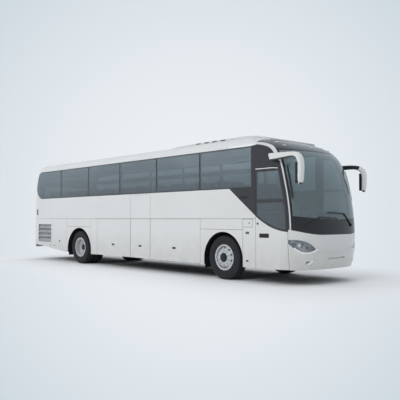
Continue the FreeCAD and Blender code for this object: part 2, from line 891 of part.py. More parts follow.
def grille_shape():
    """Slanted louvres in a frame, which let the radiator draw air from the right side."""
    start = tail + size.grille_from_tail
    frame = size.seam * 2
    plate = size.glass_thickness
    high = size.grille_bottom + size.grille_height
    body = block((start, -half, size.grille_bottom), (start + size.grille_length, -half + size.wall, high))
    hole = block((start + frame, -half - size.overrun, size.grille_bottom + frame),
                 (start + size.grille_length - frame, half, high - frame))
    grille = body.cut(hole)
    pitch = (size.grille_height - frame * 2) / size.louvre_count
    for place in range(int(size.louvre_count)):
        low = size.grille_bottom + frame + pitch * place + plate
        high_edge = low + pitch - plate * 2
        points = [(-half + size.wall, high_edge), (-half + size.wall, high_edge - plate * 2),
                  (-half, low), (-half, low + plate * 2)]
        blade = flat_face(in_front, points).translated(Vector(start + frame / 2, 0, 0))
        grille = grille.fuse(blade.extrude(Vector(size.grille_length - frame, 0, 0)))
    return grille.removeSplitter().common(outer)


for side, word in ((-1, "right"), (1, "left")):
    keep(word + "_side_wall", feature(word + "_side_wall", side_wall_shape(side)))
    keep(word + "_skirt", feature(word + "_skirt", skirt_shape(side)))
for label, panes in zip(("side_windows", "rearmost_side_windows"), pane_shapes()):
    keep(label, feature(label, panes))
keep("dark_side_panels", feature("dark_side_panels", black_panel_shape()))
keep("side_grille", feature("side_grille", grille_shape()))


# The tail

def tail_region(low, high, reach):
    return block((tail - size.overrun, -reach, low), (tail_seam, reach, high))


def tail_prism(bottom, top, reach, inset):
    return tail_region(bottom + inset, top - inset, reach - inset)


def rear_wall_shape():
    wall = shell.common(tail_region(size.bumper_top, size.cant_height, half + size.overrun))
    wall = wall.cut(tail_prism(size.engine_door_bottom, size.engine_door_top,
                               size.engine_door_half_width, 0))
    door = (size.engine_door_bottom, size.engine_door_top, size.engine_door_half_width)
    seal = tail_prism(*door, 0).cut(tail_prism(*door, size.door_frame))
    wall = wall.fuse(hull(size.door_thickness + size.seat_gap).cut(inner).common(seal))
    window = (size.rear_window_bottom, size.rear_window_top, size.rear_window_half_width)
    wall = wall.cut(skin.common(tail_prism(*window, 0))).cut(tail_prism(*window, size.glass_lap))
    for form in tail_lamp_forms():
        wall = wall.cut(form)
    return wall


def tail_lamp_forms():
    forms = []
    for side in (-1, 1):
        inner_edge = side * size.tail_lamp_inner
        outer_edge = side * (size.tail_lamp_inner + size.tail_lamp_width)
        forms.append(block((tail - size.overrun, min(inner_edge, outer_edge), size.tail_lamp_bottom),
                           (tail_seam, max(inner_edge, outer_edge), size.tail_lamp_top)
                           ).cut(behind_lamp))
    return forms


rear_edge_low = size.skirt_height + size.tail_rise / 2
keep("rear_wall", feature("rear_wall", rear_wall_shape()))
bumper = shell.common(tail_region(rear_edge_low, size.bumper_top, half + size.overrun))
keep("rear_bumper", feature("rear_bumper", bumper))
window_form = tail_prism(size.rear_window_bottom, size.rear_window_top,
                         size.rear_window_half_width, size.seam / 2)
keep("rear_window", feature("rear_window", skin.common(window_form)))
tail_lamps = Part.Compound([outer.common(form) for form in tail_lamp_forms()])
keep("tail_lamps", feature("tail_lamps", tail_lamps))
engine_door = door_shell.common(tail_prism(size.engine_door_bottom, size.engine_door_top,
                                           size.engine_door_half_width, size.seam))
keep("engine_door", feature("engine_door", engine_door))


# Luggage flaps: flat panels hung at the belt, each with a shallow latch bowl

def flap(name, front, rear, side):
    length = "%s - %s - 2 * Size.seam" % (front, rear)
    across = "-%s" % HALF if side < 0 else "%s - Size.door_thickness" % HALF
    height = "Size.belt_height - Size.skirt_height - 2 * Size.seam"
    panel = box(name + "_panel", length, "Size.door_thickness", height,
                "%s + Size.seam" % rear, across, "Size.skirt_height + Size.seam")
    skin_side = "-%s - Size.latch_depth" % HALF if side < 0 else "%s - Size.latch_depth" % HALF
    middle = "(%s + %s) / 2" % (front, rear)
    bowl = box(name + "_bowl", "Size.latch_width", "2 * Size.latch_depth", "Size.latch_height",
               middle + " - Size.latch_width / 2", skin_side, "Size.latch_up")
    return keep(name, minus(name + "_with_bowl", panel, bowl))


BAY_FRONT = "(%s - Size.arch_rear_seam)" % FRONT_AXLE
BAY_TWO = "(%s - Size.flap_one_length)" % BAY_FRONT
BAY_THREE = "(%s - Size.flap_two_length)" % BAY_TWO
BAY_REAR = "(%s - Size.flap_three_length)" % BAY_THREE
for side, word in ((-1, "right"), (1, "left")):
    flap("luggage_flap_%s_front" % word, BAY_FRONT, BAY_TWO, side)
    flap("luggage_flap_%s_middle" % word, BAY_TWO, BAY_THREE, side)
    flap("luggage_flap_%s_rear" % word, BAY_THREE, BAY_REAR, side)


# Floor with the sills that the flaps close against

def slab(name, rear, front, low, thickness):
    return box(name, "%s - %s" % (front, rear), "Size.body_width", thickness, rear, "-" + HALF, low)


floor_slab = slab("floor_slab", TAIL, "(%s + Size.floor_front)" % FRONT_AXLE,
                  "Size.floor_height - Size.floor_thickness", "Size.floor_thickness")
floor_inside = shared("floor_inside", floor_slab, inner_form)
sills = []
for side, word in ((-1, "right"), (1, "left")):
    edge = "(%s - Size.door_thickness - Size.seat_gap)" % HALF
    across = "-" + edge if side < 0 else "%s - Size.sill_width" % edge
    sills.append(box(word + "_sill", "%s - %s - 2 * Size.seam" % (BAY_FRONT, BAY_REAR),
                     "Size.sill_width", "Size.sill_height - Size.floor_height + Size.floor_thickness",
                     "%s + Size.seam" % BAY_REAR, across, "Size.floor_height - Size.floor_thickness"))
keep("saloon_floor", fused("saloon_floor", [floor_inside] + sills))


# Luggage hold: a plate floor with bulkheads at each end and between the flaps

hold_height = "(Size.floor_height - Size.floor_thickness - Size.hold_floor + Size.hold_plate)"
hold_half = "(%s - Size.wall)" % HALF
hold_parts = [box("hold_floor", "%s - %s" % (BAY_FRONT, BAY_REAR), "2 * " + hold_half,
                  "Size.hold_plate", BAY_REAR, "-" + hold_half, "Size.hold_floor - Size.hold_plate")]
for number, place in enumerate((BAY_REAR, BAY_THREE + " - Size.hold_plate / 2",
                                BAY_TWO + " - Size.hold_plate / 2", BAY_FRONT + " - Size.hold_plate")):
    hold_parts.append(box("hold_wall_%d" % number, "Size.hold_plate", "2 * " + hold_half, hold_height,
                          place, "-" + hold_half, "Size.hold_floor - Size.hold_plate"))
keep("luggage_hold", fused("luggage_hold", hold_parts))


# Entrance steps and the driver's platform

def steps_shape():
    rear = door_rear + size.seam
    front = front_axle + size.step_front
    plate = size.step_plate
    treads = int(size.step_count)
    rise = (size.platform_height - size.skirt_height - size.wall) / treads
    edge = -half + size.wall
    pieces = []
    for number in range(treads):
        top = size.platform_height - (treads - number) * rise
        start = edge + number * size.step_depth
        pieces.append(block((rear, start, top - plate), (front, start + size.step_depth + plate, top)))
        pieces.append(block((rear, start + size.step_depth, top - plate),
                            (front, start + size.step_depth + plate, top + rise)))
    well_end = edge + treads * size.step_depth
    platform_front = front_axle + size.platform_front
    pieces.append(block((rear, well_end, size.platform_height - plate),
                        (platform_front, half, size.platform_height)))
    pieces.append(block((rear - plate, edge, size.skirt_height + size.wall - plate),
                        (rear, well_end + plate, size.floor_height - size.floor_thickness)))
    pieces.append(block((rear - plate, edge, size.platform_height - plate),
                        (rear, half, size.floor_height - size.floor_thickness)))
    pieces.append(block((front, edge, size.skirt_height + size.wall - plate),
                        (front + plate, well_end + plate, size.platform_height)))
    return pieces[0].multiFuse(pieces[1:]).removeSplitter()


steps_form = feature("steps_form", steps_shape())
keep("entrance_steps", shared("entrance_steps", steps_form, clear_form))


# Passenger door: a leaf on two arms of a turning pillar, which keep it parallel as it swings out

def door_space(inset):
    """The door's space, drawn in: upright at the rear, leaning back along the pillar at the front."""
    region = block((door_rear + inset, -half - size.overrun, size.skirt_height + inset),
                   (door_front - inset, 0, size.door_top - inset))
    return region.common(behind_pillar(-pillar_reach - inset))


def door_panes(inset):
    """The upper pane and the lower pane, which follows the edge of the dark paint."""
    whole = door_space(size.door_frame + inset)
    bar_top = size.door_bar_height + size.door_bar / 2 + inset
    bar_low = size.door_bar_height - size.door_bar / 2 - inset
    reach = half + size.overrun
    upper = whole.common(block((door_rear, -reach, bar_top), (door_front, 0, far_top)))
    lift = size.door_frame + inset
    edge = [(point[0], point[1] + lift) for point in black_edge[1:]]
    under = flat_face(in_side, Smooth(edge), [(door_front + size.overrun, edge[-1][1]),
                                              (door_front + size.overrun, bar_low), (edge[0][0], bar_low)])
    return upper, whole.common(across_body(under, -1))


pivot_x = door_front - size.arm_pivot_behind
pivot_y = -half + size.arm_pivot_depth
eye_x = pivot_x - size.arm_length


def door_leaf_shape():
    leaf = door_shell.common(door_space(size.seam))
    for pane, opening in zip(door_panes(0), door_panes(size.glass_lap / 2)):
        leaf = leaf.cut(skin.common(pane)).cut(opening)
    pieces = []
    for height in (size.arm_low, size.arm_high):
        for low in (height - size.lug_thickness - size.seat_gap,
                    height + size.arm_thickness + size.seat_gap):
            reach = size.arm_eye_radius
            lug = block((eye_x - reach, -half + size.door_thickness / 2, low),
                        (eye_x + reach, pivot_y, low + size.lug_thickness))
            cap = Part.makeCylinder(reach, size.lug_thickness, Vector(eye_x, pivot_y, low))
            pieces.append(lug.fuse(cap))
    return leaf.multiFuse(pieces).removeSplitter()


keep("passenger_door", feature("passenger_door", door_leaf_shape()))
door_glass = Part.Compound([skin.common(pane) for pane in door_panes(size.seam / 2)])
keep("passenger_door_glass", feature("passenger_door_glass", door_glass))

PIVOT_X = "(%s + Size.door_front - Size.arm_pivot_behind)" % FRONT_AXLE
PIVOT_Y = "(-%s + Size.arm_pivot_depth)" % HALF
ON_TREAD = "(Size.skirt_height + Size.wall + Size.seat_gap)"
arm_parts = [rod("arm_pillar", "Size.arm_pillar_radius", "Size.arm_pillar_top - " + ON_TREAD,
                 PIVOT_X, PIVOT_Y, ON_TREAD)]
for word in ("low", "high"):
    height = "Size.arm_" + word
    arm_parts.append(box("arm_bar_" + word, "Size.arm_length", "Size.arm_width", "Size.arm_thickness",
                         PIVOT_X + " - Size.arm_length", PIVOT_Y + " - Size.arm_width / 2", height))
    arm_parts.append(rod("arm_eye_" + word, "Size.arm_eye_radius", "Size.arm_thickness",
                         PIVOT_X + " - Size.arm_length", PIVOT_Y, height))
keep("door_arm", fused("door_arm", arm_parts))


# Wheels

def tyre_corners():
    """Half of the tyre's section as formulas, mirrored to the other half."""
    depth = "(Size.tyre_radius - Size.rim_radius)"
    edge = "Size.rim_width / 2"
    bead = [(edge, "Size.rim_radius"), (edge, "Size.rim_radius + Size.rim_lip")]
    outer_half = bead + [("Size.tyre_width * %s" % across, "Size.rim_radius + %s * %s" % (depth, up))
                         for across, up in TYRE_SHARES]
    return outer_half + [("-" + across, up) for across, up in reversed(outer_half)]


def rim_corners(disc):
    """The rim's channel with its two lips and the disc; disc is the mounting face's place."""
    edge = "Size.rim_width / 2"
    inside = "Size.rim_radius - Size.rim_plate"
    lip = "Size.rim_radius + Size.rim_lip"
    sign = "" if disc == "front" else "-"
    face = "Size.front_disc_out" if disc == "front" else "-Size.rear_disc_in"
    back = face + (" - Size.disc_plate" if disc == "front" else " + Size.disc_plate")
    root = "Size.hub_radius - Size.disc_plate"
    bend = "Size.stud_circle + Size.disc_plate * 2"
    channel = [("-%s - Size.rim_plate" % edge, lip), ("-%s - Size.rim_plate" % edge, inside)]
    weld = "Size.disc_weld"
    if disc == "front":
        middle = [(weld, inside), (back, bend), (back, root), (face, root),
                  (face, bend), (weld + " + 2 * Size.disc_plate", inside)]
    else:
        middle = [("-%s - 2 * Size.disc_plate" % weld, inside), (face, bend), (face, root),
                  (back, root), (back, bend), ("-" + weld, inside)]
    far = [("%s + Size.rim_plate" % edge, inside), ("%s + Size.rim_plate" % edge, lip), (edge, lip),
           (edge, "Size.rim_radius"), ("-" + edge, "Size.rim_radius"), ("-" + edge, lip)]
    return channel + middle + far


def tyre(name):
    return turned(name, tyre_corners())


def rim(name, disc):
    body = turned(name, rim_corners(disc))
    return ring_of(body, name + "_hand_holes", "XZ_Plane", "Y_Axis", "Size.stud_count",
                   "Size.hand_hole_radius", "0", "Size.hand_hole_circle")


def hub_corners(inner_end, flange, outer_end):
    """A hub with its flange, domed cap and the bore that runs on the axle's spindle."""
    bore = "Size.spindle_radius + Size.seat_gap"
    reach = "Size.stud_circle + Size.disc_plate * 2"
    body = "Size.hub_radius - Size.disc_plate"
    return [(inner_end, bore), (inner_end, body), (flange + " - Size.disc_plate * 2", body),
            (flange + " - Size.disc_plate * 2", reach), (flange, reach), (flange, body),
            (outer_end, body), (outer_end, "Size.hub_cap_radius"),
            (outer_end + " + Size.hub_cap_length", "Size.hub_cap_end"),
            (outer_end + " + Size.hub_cap_length", "0"), (outer_end, "0"), (outer_end, bore)]


def nuts(name, place):
    """One ring of wheel nuts on the outer face of a disc."""
    made = []
    count = int(size.stud_count)
    for number in range(count):
        turn = 2 * math.pi * number / count
        made.append(Part.makeCylinder(size.nut_radius, size.nut_height,
                                      Vector(size.stud_circle * math.sin(turn), place,
                                             size.stud_circle * math.cos(turn)), Vector(0, 1, 0)))
    return feature(name, Part.Compound(made))


spindle_start = "Size.kingpin_offset + Size.knuckle_back + Size.knuckle_plate"
front_hub_start = "%s + Size.seat_gap - Size.wheel_middle" % spindle_start
front_face = "Size.front_disc_out - Size.disc_plate"
front_tyre = tyre("front_tyre_form")
front_rim = rim("front_rim_form", "front")
front_hub = turned("front_hub_form", hub_corners(front_hub_start, front_face,
                                                 "Size.front_disc_out + Size.disc_plate"))
front_nuts = nuts("front_nuts", size.front_disc_out)
front_wheel = fused("front_wheel_form", [front_rim, front_hub, front_nuts])
rear_tyre = tyre("rear_tyre_form")
rear_inner_tyre = tyre("rear_inner_tyre_form")
rear_inner_tyre.setExpression("Placement.Base.y", "-Size.twin_spacing")
rear_tyres = together("rear_tyres_form", [rear_tyre, rear_inner_tyre])
rear_rim = rim("rear_rim_form", "rear")
rear_inner_rim = mirrored("rear_inner_rim_form", rim("rear_inner_rim_source", "rear"))
rear_inner_rim.setExpression("Placement.Base.y", "-Size.twin_spacing")
rear_hub_start = "Size.axle_half_length + Size.seat_gap - Size.wheel_middle"
rear_hub = turned("rear_hub_form", hub_corners(rear_hub_start, "-Size.rear_disc_in", "0"))
rear_nuts = nuts("rear_nuts", -size.rear_disc_in + size.disc_plate)
rear_wheel = fused("rear_wheel_form", [rear_rim, rear_inner_rim, rear_hub, rear_nuts])


def placed(label, source, axle, side):
    """A wheel piece carried to its axle's end; the right side is the left one mirrored."""
    link = source
    if side < 0:
        link = mirrored(label + "_mirrored", source)
    moved = together(label + "_placed", [link])
    moved.setExpression("Placement.Base.x", axle)
    moved.setExpression("Placement.Base.y", "Size.wheel_middle" if side > 0 else "-Size.wheel_middle")
    moved.setExpression("Placement.Base.z", "Size.tyre_radius")
    return keep(label, moved)


for side, word in ((-1, "right"), (1, "left")):
    placed("tyre_front_" + word, front_tyre, FRONT_AXLE, side)
    placed("rim_front_" + word, front_wheel, FRONT_AXLE, side)
    placed("tyres_rear_" + word, rear_tyres, REAR_AXLE, side)
    placed("rims_rear_" + word, rear_wheel, REAR_AXLE, side)


# Axles, knuckles and springs

beam_low = "(Size.tyre_radius - Size.beam_height / 2)"
boss_low = "(Size.tyre_radius - Size.kingpin_boss_height / 2)"
beam = box("beam", "Size.beam_width", "2 * Size.kingpin_offset", "Size.beam_height",
           FRONT_AXLE + " - Size.beam_width / 2", "-Size.kingpin_offset", beam_low)
bosses = []
bores = []
for side, word in ((-1, "right"), (1, "left")):
    across = "Size.kingpin_offset" if side > 0 else "-Size.kingpin_offset"
    bosses.append(rod("kingpin_boss_" + word, "Size.kingpin_boss_radius", "Size.kingpin_boss_height",
                      FRONT_AXLE, across, boss_low))
    bores.append(rod("kingpin_bore_" + word, "Size.kingpin_radius + Size.pin_clearance",
                     "Size.kingpin_boss_height * 2", FRONT_AXLE, across,
                     boss_low + " - Size.kingpin_boss_height / 2"))
keep("front_axle", minus("front_axle", fused("front_beam", [beam] + bosses), fused("kingpin_bores", bores)))


def knuckle(word, side):
    """A yoke over the axle's boss, its kingpin and the spindle that the wheel turns on."""
    pin_y = "Size.kingpin_offset" if side > 0 else "-Size.kingpin_offset"
    gap = "Size.kingpin_boss_height / 2 + Size.lug_gap"
    reach = "Size.knuckle_back + Size.knuckle_plate"
    outward = "Y" if side > 0 else "-Y"
    pieces = [rod(word + "_kingpin", "Size.kingpin_radius",
                  "2 * (%s + Size.knuckle_lug)" % gap, FRONT_AXLE, pin_y,
                  "Size.tyre_radius - (%s) - Size.knuckle_lug" % gap)]
    start = pin_y if side > 0 else "%s - (%s)" % (pin_y, reach)
    for level, low in (("upper", "Size.tyre_radius + " + gap),
                       ("lower", "Size.tyre_radius - (%s) - Size.knuckle_lug" % gap)):
        pieces.append(box("%s_%s_lug" % (word, level), "Size.knuckle_width", reach, "Size.knuckle_lug",
                          FRONT_AXLE + " - Size.knuckle_width / 2", start, low))
        pieces.append(rod("%s_%s_lug_end" % (word, level), "Size.knuckle_width / 2", "Size.knuckle_lug",
                          FRONT_AXLE, pin_y, low))
    plate = "%s + Size.knuckle_back" % pin_y if side > 0 else start
    pieces.append(box(word + "_back", "Size.knuckle_width", "Size.knuckle_plate",
                      "2 * (%s + Size.knuckle_lug)" % gap, FRONT_AXLE + " - Size.knuckle_width / 2",
                      plate, "Size.tyre_radius - (%s) - Size.knuckle_lug" % gap))
    root = "%s + %s" % (pin_y, reach) if side > 0 else start
    pieces.append(rod(word + "_spindle", "Size.spindle_radius", "Size.spindle_length",
                      FRONT_AXLE, root, "Size.tyre_radius", outward))
    return keep("knuckle_" + word, fused("knuckle_" + word, pieces))


knuckle("right", -1)
knuckle("left", 1)

rear_housing = turned("rear_housing", [
    ("-Size.axle_half_length", "0"), ("-Size.axle_half_length", "Size.axle_tube_radius"),
    ("-Size.axle_bowl_width", "Size.axle_tube_radius"),
    ("-Size.axle_bowl_width / 2", "Size.axle_bowl_radius"),
    ("Size.axle_bowl_width / 2", "Size.axle_bowl_radius"),
    ("Size.axle_bowl_width", "Size.axle_tube_radius"),
    ("Size.axle_half_length", "Size.axle_tube_radius"), ("Size.axle_half_length", "0")])
rear_housing.setExpression("Placement.Base.x", REAR_AXLE)
rear_housing.setExpression("Placement.Base.z", "Size.tyre_radius")
axle_parts = [rear_housing]
for side, word in ((-1, "right"), (1, "left")):
    end = "Size.axle_half_length" if side > 0 else "-Size.axle_half_length"
    axle_parts.append(rod("rear_spindle_" + word, "Size.spindle_radius", "Size.spindle_length",
                          REAR_AXLE, end, "Size.tyre_radius", "Y" if side > 0 else "-Y"))
    across = "Size.rail_offset" if side > 0 else "-Size.rail_offset"
    axle_parts.append(box("spring_beam_" + word, "2 * (Size.rear_bellows_reach + Size.bellows_radius)",
                          "Size.rail_width", "Size.spring_beam_height",
                          REAR_AXLE + " - Size.rear_bellows_reach - Size.bellows_radius",
                          across + " - Size.rail_width / 2",
                          "Size.tyre_radius - Size.spring_beam_height / 2"))
keep("rear_axle", fused("rear_axle", axle_parts))


def bellows(name, along, side, low):
    """An air spring between an axle and the rail above it."""
    across = "%s * Size.rail_offset" % side
    return rod(name, "Size.bellows_radius", "Size.rail_bottom - (%s)" % low, along, across, low)


springs = []
for side, word in ((-1, "right"), (1, "left")):
    springs.append(bellows("front_bellows_" + word, FRONT_AXLE, side,
                           "Size.tyre_radius + Size.beam_height / 2"))
    for place, sign in (("ahead", "+"), ("behind", "-")):
        springs.append(bellows("rear_bellows_%s_%s" % (place, word),
                               "%s %s Size.rear_bellows_reach" % (REAR_AXLE, sign), side,
                               "Size.tyre_radius + Size.spring_beam_height / 2"))
keep("air_springs", together("air_springs", springs))

# Chassis rails ahead of and behind the hold, with their cross members and engine mounts

rail_parts = []
UNDER_FLOOR = "Size.floor_height - Size.floor_thickness - Size.rail_bottom"
UNDER_PLATFORM = "Size.platform_height - Size.step_plate - Size.rail_bottom"
HORN_REAR = "(%s + Size.horn_rear)" % FRONT_AXLE
HORN_FRONT = "(%s + Size.rail_front)" % FRONT_AXLE
rail_runs = (("front", BAY_FRONT, HORN_REAR, "Size.rail_offset", UNDER_FLOOR),
             ("horn", HORN_REAR + " - Size.cross_width", HORN_FRONT, "Size.horn_offset", UNDER_PLATFORM),
             ("rear", "(%s + Size.overrun)" % TAIL, BAY_REAR, "Size.rail_offset", UNDER_FLOOR))
for word, rear, front, offset, rise in rail_runs:
    for side, hand in ((-1, "right"), (1, "left")):
        across = "%s * %s - Size.rail_width / 2" % (side, offset)
        rail_parts.append(box("rail_%s_%s" % (word, hand), "%s - (%s)" % (front, rear), "Size.rail_width",
                              "Size.rail_height", rear, across, "Size.rail_bottom"))
        rail_parts.append(box("post_%s_%s" % (word, hand), "Size.cross_width", "Size.rail_width", rise,
                              front + " - Size.cross_width", across, "Size.rail_bottom"))
    rail_parts.append(box("cross_" + word, "Size.cross_width", "2 * " + offset, "Size.rail_height",
                          front + " - Size.cross_width", "-" + offset, "Size.rail_bottom"))
ENGINE_REAR = "(%s + Size.engine_from_tail)" % TAIL
mount_width = "(Size.rail_offset - Size.rail_width / 2 - Size.engine_width / 2)"
for side, hand in ((-1, "right"), (1, "left")):
    across = "Size.engine_width / 2" if side > 0 else "-Size.engine_width / 2 - %s" % mount_width
    for place, along in (("rear", ENGINE_REAR + " + Size.cross_width"),
                         ("front", ENGINE_REAR + " + Size.engine_length - 2 * Size.cross_width")):
        rail_parts.append(box("engine_mount_%s_%s" % (place, hand), "Size.cross_width", mount_width,
                              "Size.rail_height / 2", along, across, "Size.rail_bottom"))
rails = fused("chassis_rails", rail_parts)
keep("chassis_rails", rails)
keep("engine", box("engine", "Size.engine_length", "Size.engine_width", "Size.engine_height",
                   ENGINE_REAR, "-Size.engine_width / 2", "Size.engine_bottom"))


def tow_eye(name, along, side, offset):
    """A hanging lug with a cross bore for a towing pin."""
    across = "%s * %s - Size.tow_eye_thickness / 2" % (side, offset)
    low = "Size.rail_bottom - Size.tow_eye_drop"
    plate = box(name + "_plate", "Size.tow_eye_width", "Size.tow_eye_thickness", "Size.tow_eye_drop",
                along, across, low)
    middle = "%s + Size.tow_eye_width / 2" % along
    tip = rod(name + "_tip", "Size.tow_eye_width / 2", "Size.tow_eye_thickness", middle, across, low, "Y")
    bore = rod(name + "_bore", "Size.tow_eye_radius", "2 * Size.tow_eye_thickness", middle,
               "%s - Size.tow_eye_thickness / 2" % across, low, "Y")
    return minus(name, fused(name + "_lug", [plate, tip]), bore)


FRONT_EYE = "(%s + Size.rail_front - Size.tow_eye_width)" % FRONT_AXLE
REAR_EYE = "(%s + Size.overrun)" % TAIL
eyes = [tow_eye("eye_%s_%s" % (word, hand), along, side, offset)
        for word, along, offset in (("front", FRONT_EYE, "Size.horn_offset"),
                                    ("rear", REAR_EYE, "Size.rail_offset"))
        for side, hand in ((-1, "right"), (1, "left"))]
keep("tow_eyes", together("tow_eyes", eyes))


# Wheel housings: a round cover and an inner wall over each wheel

def housing_shape(middle, half_width, top, depth, side):
    gap = size.housing_gap
    outer_face = arch_face(middle, half_width + gap + size.housing_plate, top + gap + size.housing_plate)
    inner_face = arch_face(middle, half_width + gap, top + gap)
    reach = side * (half - size.wall)
    start = side * (half - size.wall - depth)
    cover = outer_face.translated(Vector(0, start, 0)).extrude(Vector(0, reach - start, 0))
    hollow_start = start + side * size.housing_plate
    hollow = inner_face.translated(Vector(0, hollow_start, 0)).extrude(Vector(0, reach - hollow_start, 0))
    low = block((middle - half_width * 2, -half, 0), (middle + half_width * 2, half, size.tyre_radius))
    slot = block((middle - size.axle_slot, -half, 0),
                 (middle + size.axle_slot, half, size.tyre_radius + size.axle_slot))
    return cover.cut(hollow).cut(low).cut(slot)


housings = []
for side in (-1, 1):
    housings.append(housing_shape(front_axle, size.arch_half_width, size.arch_top - size.housing_gap,
                                  size.front_housing_depth, side))
    housings.append(housing_shape(rear_axle, size.rear_arch_half_width,
                                  size.rear_arch_top - size.housing_gap, size.rear_housing_depth, side))
keep("wheel_housings", feature("wheel_housings", Part.Compound(housings)))


# Roof unit and hatch

def roof_unit_shape():
    """The cooling unit: a low long form with sloping ends and rounded shoulders, and intake slots."""
    top = side_points(UNIT_TOP_SHARES)
    low = size.roof_height - size.cant_radius
    wide, shoulder = size.unit_half_width, size.unit_shoulder
    crown = max(up for along, up in top) + size.unit_rise
    edge = crown - size.unit_rise
    section_points = [(-wide, low), (wide, low), (wide, edge - shoulder / 2), (wide - shoulder, edge)]
    arch = Smooth([(wide - shoulder, edge), (0, crown), (shoulder - wide, edge)])
    face = flat_face(in_front, section_points, arch, [(-wide, edge - shoulder / 2)])
    unit = face.translated(Vector(top[0][0], 0, 0)).extrude(Vector(top[-1][0] - top[0][0], 0, 0))
    lifted = Smooth([(along, up + size.unit_rise) for along, up in top])
    side_face = flat_face(in_side, lifted, [(top[-1][0], low), (top[0][0], low)])
    unit = unit.common(across_body(side_face)).cut(outer)
    reach = wide - size.slot_depth
    for side in (-1, 1):
        for number in range(int(size.slot_count)):
            start = front_axle - size.slot_first - number * size.slot_pitch
            slot = block((start - size.slot_length, min(side * reach, side * half), size.slot_height_up),
                         (start, max(side * reach, side * half), size.slot_height_up + size.slot_height))
            unit = unit.cut(slot)
    return unit


keep("roof_unit", feature("roof_unit", roof_unit_shape()))
HATCH = "(%s + Size.hatch_ahead)" % REAR_AXLE
keep("roof_hatch", box("roof_hatch", "Size.hatch_size", "Size.hatch_size", "Size.hatch_height",
                       HATCH + " - Size.hatch_size / 2", "-Size.hatch_size / 2",
                       "Size.roof_height + Size.curb_rise + Size.seat_gap"))


# Inside: seats, racks, dashboard, driver's seat and steering wheel

def seat_shape(front_place, middle, width, level):
    """A seat with its pedestal and leaning back, from its side outline."""
    points = [(front_place + (along - 1) * size.seat_depth, level + up * size.seat_height)
              for along, up in SEAT_SHARES]
    face = flat_face(in_side, points + [points[0]]).translated(Vector(0, middle - width / 2, 0))
    return face.extrude(Vector(0, width, 0))


def seat_rows(side):
    first = front_axle + size.seat_first
    middle = side * (half - size.wall - size.seat_from_wall - size.seat_width / 2)
    return Part.Compound([seat_shape(first - row * size.seat_pitch, middle, size.seat_width,
                                     size.floor_height) for row in range(int(size.seat_rows))])


for side, word in ((-1, "right"), (1, "left")):
    keep("seats_" + word, feature("seats_" + word, seat_rows(side)))
driver_front = front_axle + size.door_front - size.seat_depth
driver_middle = half / 2
keep("driver_seat", feature("driver_seat", seat_shape(driver_front, driver_middle, size.seat_width / 2,
                                                      size.platform_height)))


def rack_shape(side):
    """A luggage rack along one side, hung from the wall above the seats."""
    reach = side * (half - size.wall)
    edge = reach - side * size.rack_depth
    low, high = size.rack_bottom, size.rack_bottom + size.rack_height
    points = [(reach, low), (edge, low + size.wall), (edge, low + size.wall * 2),
              (reach, low + size.wall), (reach, low)]
    rear = band_rear + size.band_end_radius
    face = flat_face(in_front, points).translated(Vector(rear, 0, 0))
    return face.extrude(Vector(front_axle - rear, 0, 0))


keep("parcel_racks", feature("parcel_racks", Part.Compound([rack_shape(-1), rack_shape(1)])))


def dashboard_shape():
    front = front_axle + size.platform_front
    rear = front - size.dash_depth
    low, high = size.platform_height, size.windshield_bottom + size.windshield_corner_rise * 2
    points = [(rear + size.wall, low), (front, low), (front, high - size.dash_hood),
              (rear + size.dash_hood, high), (rear, high - size.wall), (rear + size.wall, low)]
    face = flat_face(in_side, points).translated(Vector(0, -size.dash_right, 0))
    return face.extrude(Vector(0, size.dash_width, 0))


dash_form = feature("dash_form", dashboard_shape())
keep("dashboard", shared("dashboard", dash_form, clear_form))


def steering_wheel_shape():
    """A wheel rim on two crossed spokes, with its column down to the dashboard."""
    rear = front_axle + size.platform_front - size.dash_depth
    top = size.windshield_bottom + size.windshield_corner_rise * 2
    rake = math.radians(size.wheel_rake)
    axis = Vector(-math.sin(rake), 0, math.cos(rake))
    foot = Vector(rear + size.wall * 2, driver_middle, top - size.wall / 2 + size.seat_gap)
    middle = foot + axis * size.column_length
    rim_ring = Part.makeTorus(size.wheel_rim_radius, size.wheel_rim_tube, middle, axis)
    column = Part.makeCylinder(size.wheel_rim_tube * 2, size.column_length, foot, axis)
    solid = rim_ring.fuse(column)
    across = Vector(0, 1, 0)
    for direction in (across, axis.cross(across)):
        spoke = Part.makeCylinder(size.spoke_radius, size.wheel_rim_radius * 2,
                                  middle - direction * size.wheel_rim_radius, direction)
        solid = solid.fuse(spoke)
    return solid.cut(dash_form.Shape)


keep("steering_wheel", feature("steering_wheel", steering_wheel_shape()))


# Mirrors and wipers. Each mirror's course from its root: places as shares of the front overhang, half
# the width and the roof's height, then the section's height and width as shares of its greatest ones

RIGHT_MIRROR_SHARES = [(0.594, 0.965, 0.8284, 1.0, 0.54), (0.723, 1.009, 0.8284, 0.88, 0.54),
                       (0.830, 1.038, 0.8296, 0.70, 0.58), (0.906, 1.064, 0.8290, 0.60, 0.68),
                       (0.966, 1.085, 0.8194, 0.66, 0.84), (1.003, 1.102, 0.7940, 0.68, 0.96),
                       (1.016, 1.110, 0.7582, 0.62, 1.0), (1.015, 1.110, 0.7104, 0.59, 1.0),
                       (1.010, 1.110, 0.6657, 0.55, 0.97), (1.004, 1.109, 0.6390, 0.36, 0.70)]
LEFT_MIRROR_SHARES = [(0.594, 0.965, 0.7940, 0.72, 0.54), (0.700, 1.015, 0.7975, 0.64, 0.54),
                      (0.780, 1.046, 0.7985, 0.58, 0.58), (0.840, 1.070, 0.7950, 0.56, 0.68),
                      (0.882, 1.090, 0.7842, 0.62, 0.84), (0.909, 1.105, 0.7612, 0.64, 0.96),
                      (0.919, 1.110, 0.7290, 0.60, 1.0), (0.918, 1.110, 0.6860, 0.57, 1.0),
                      (0.913, 1.110, 0.6450, 0.53, 0.97), (0.906, 1.109, 0.6205, 0.36, 0.70)]


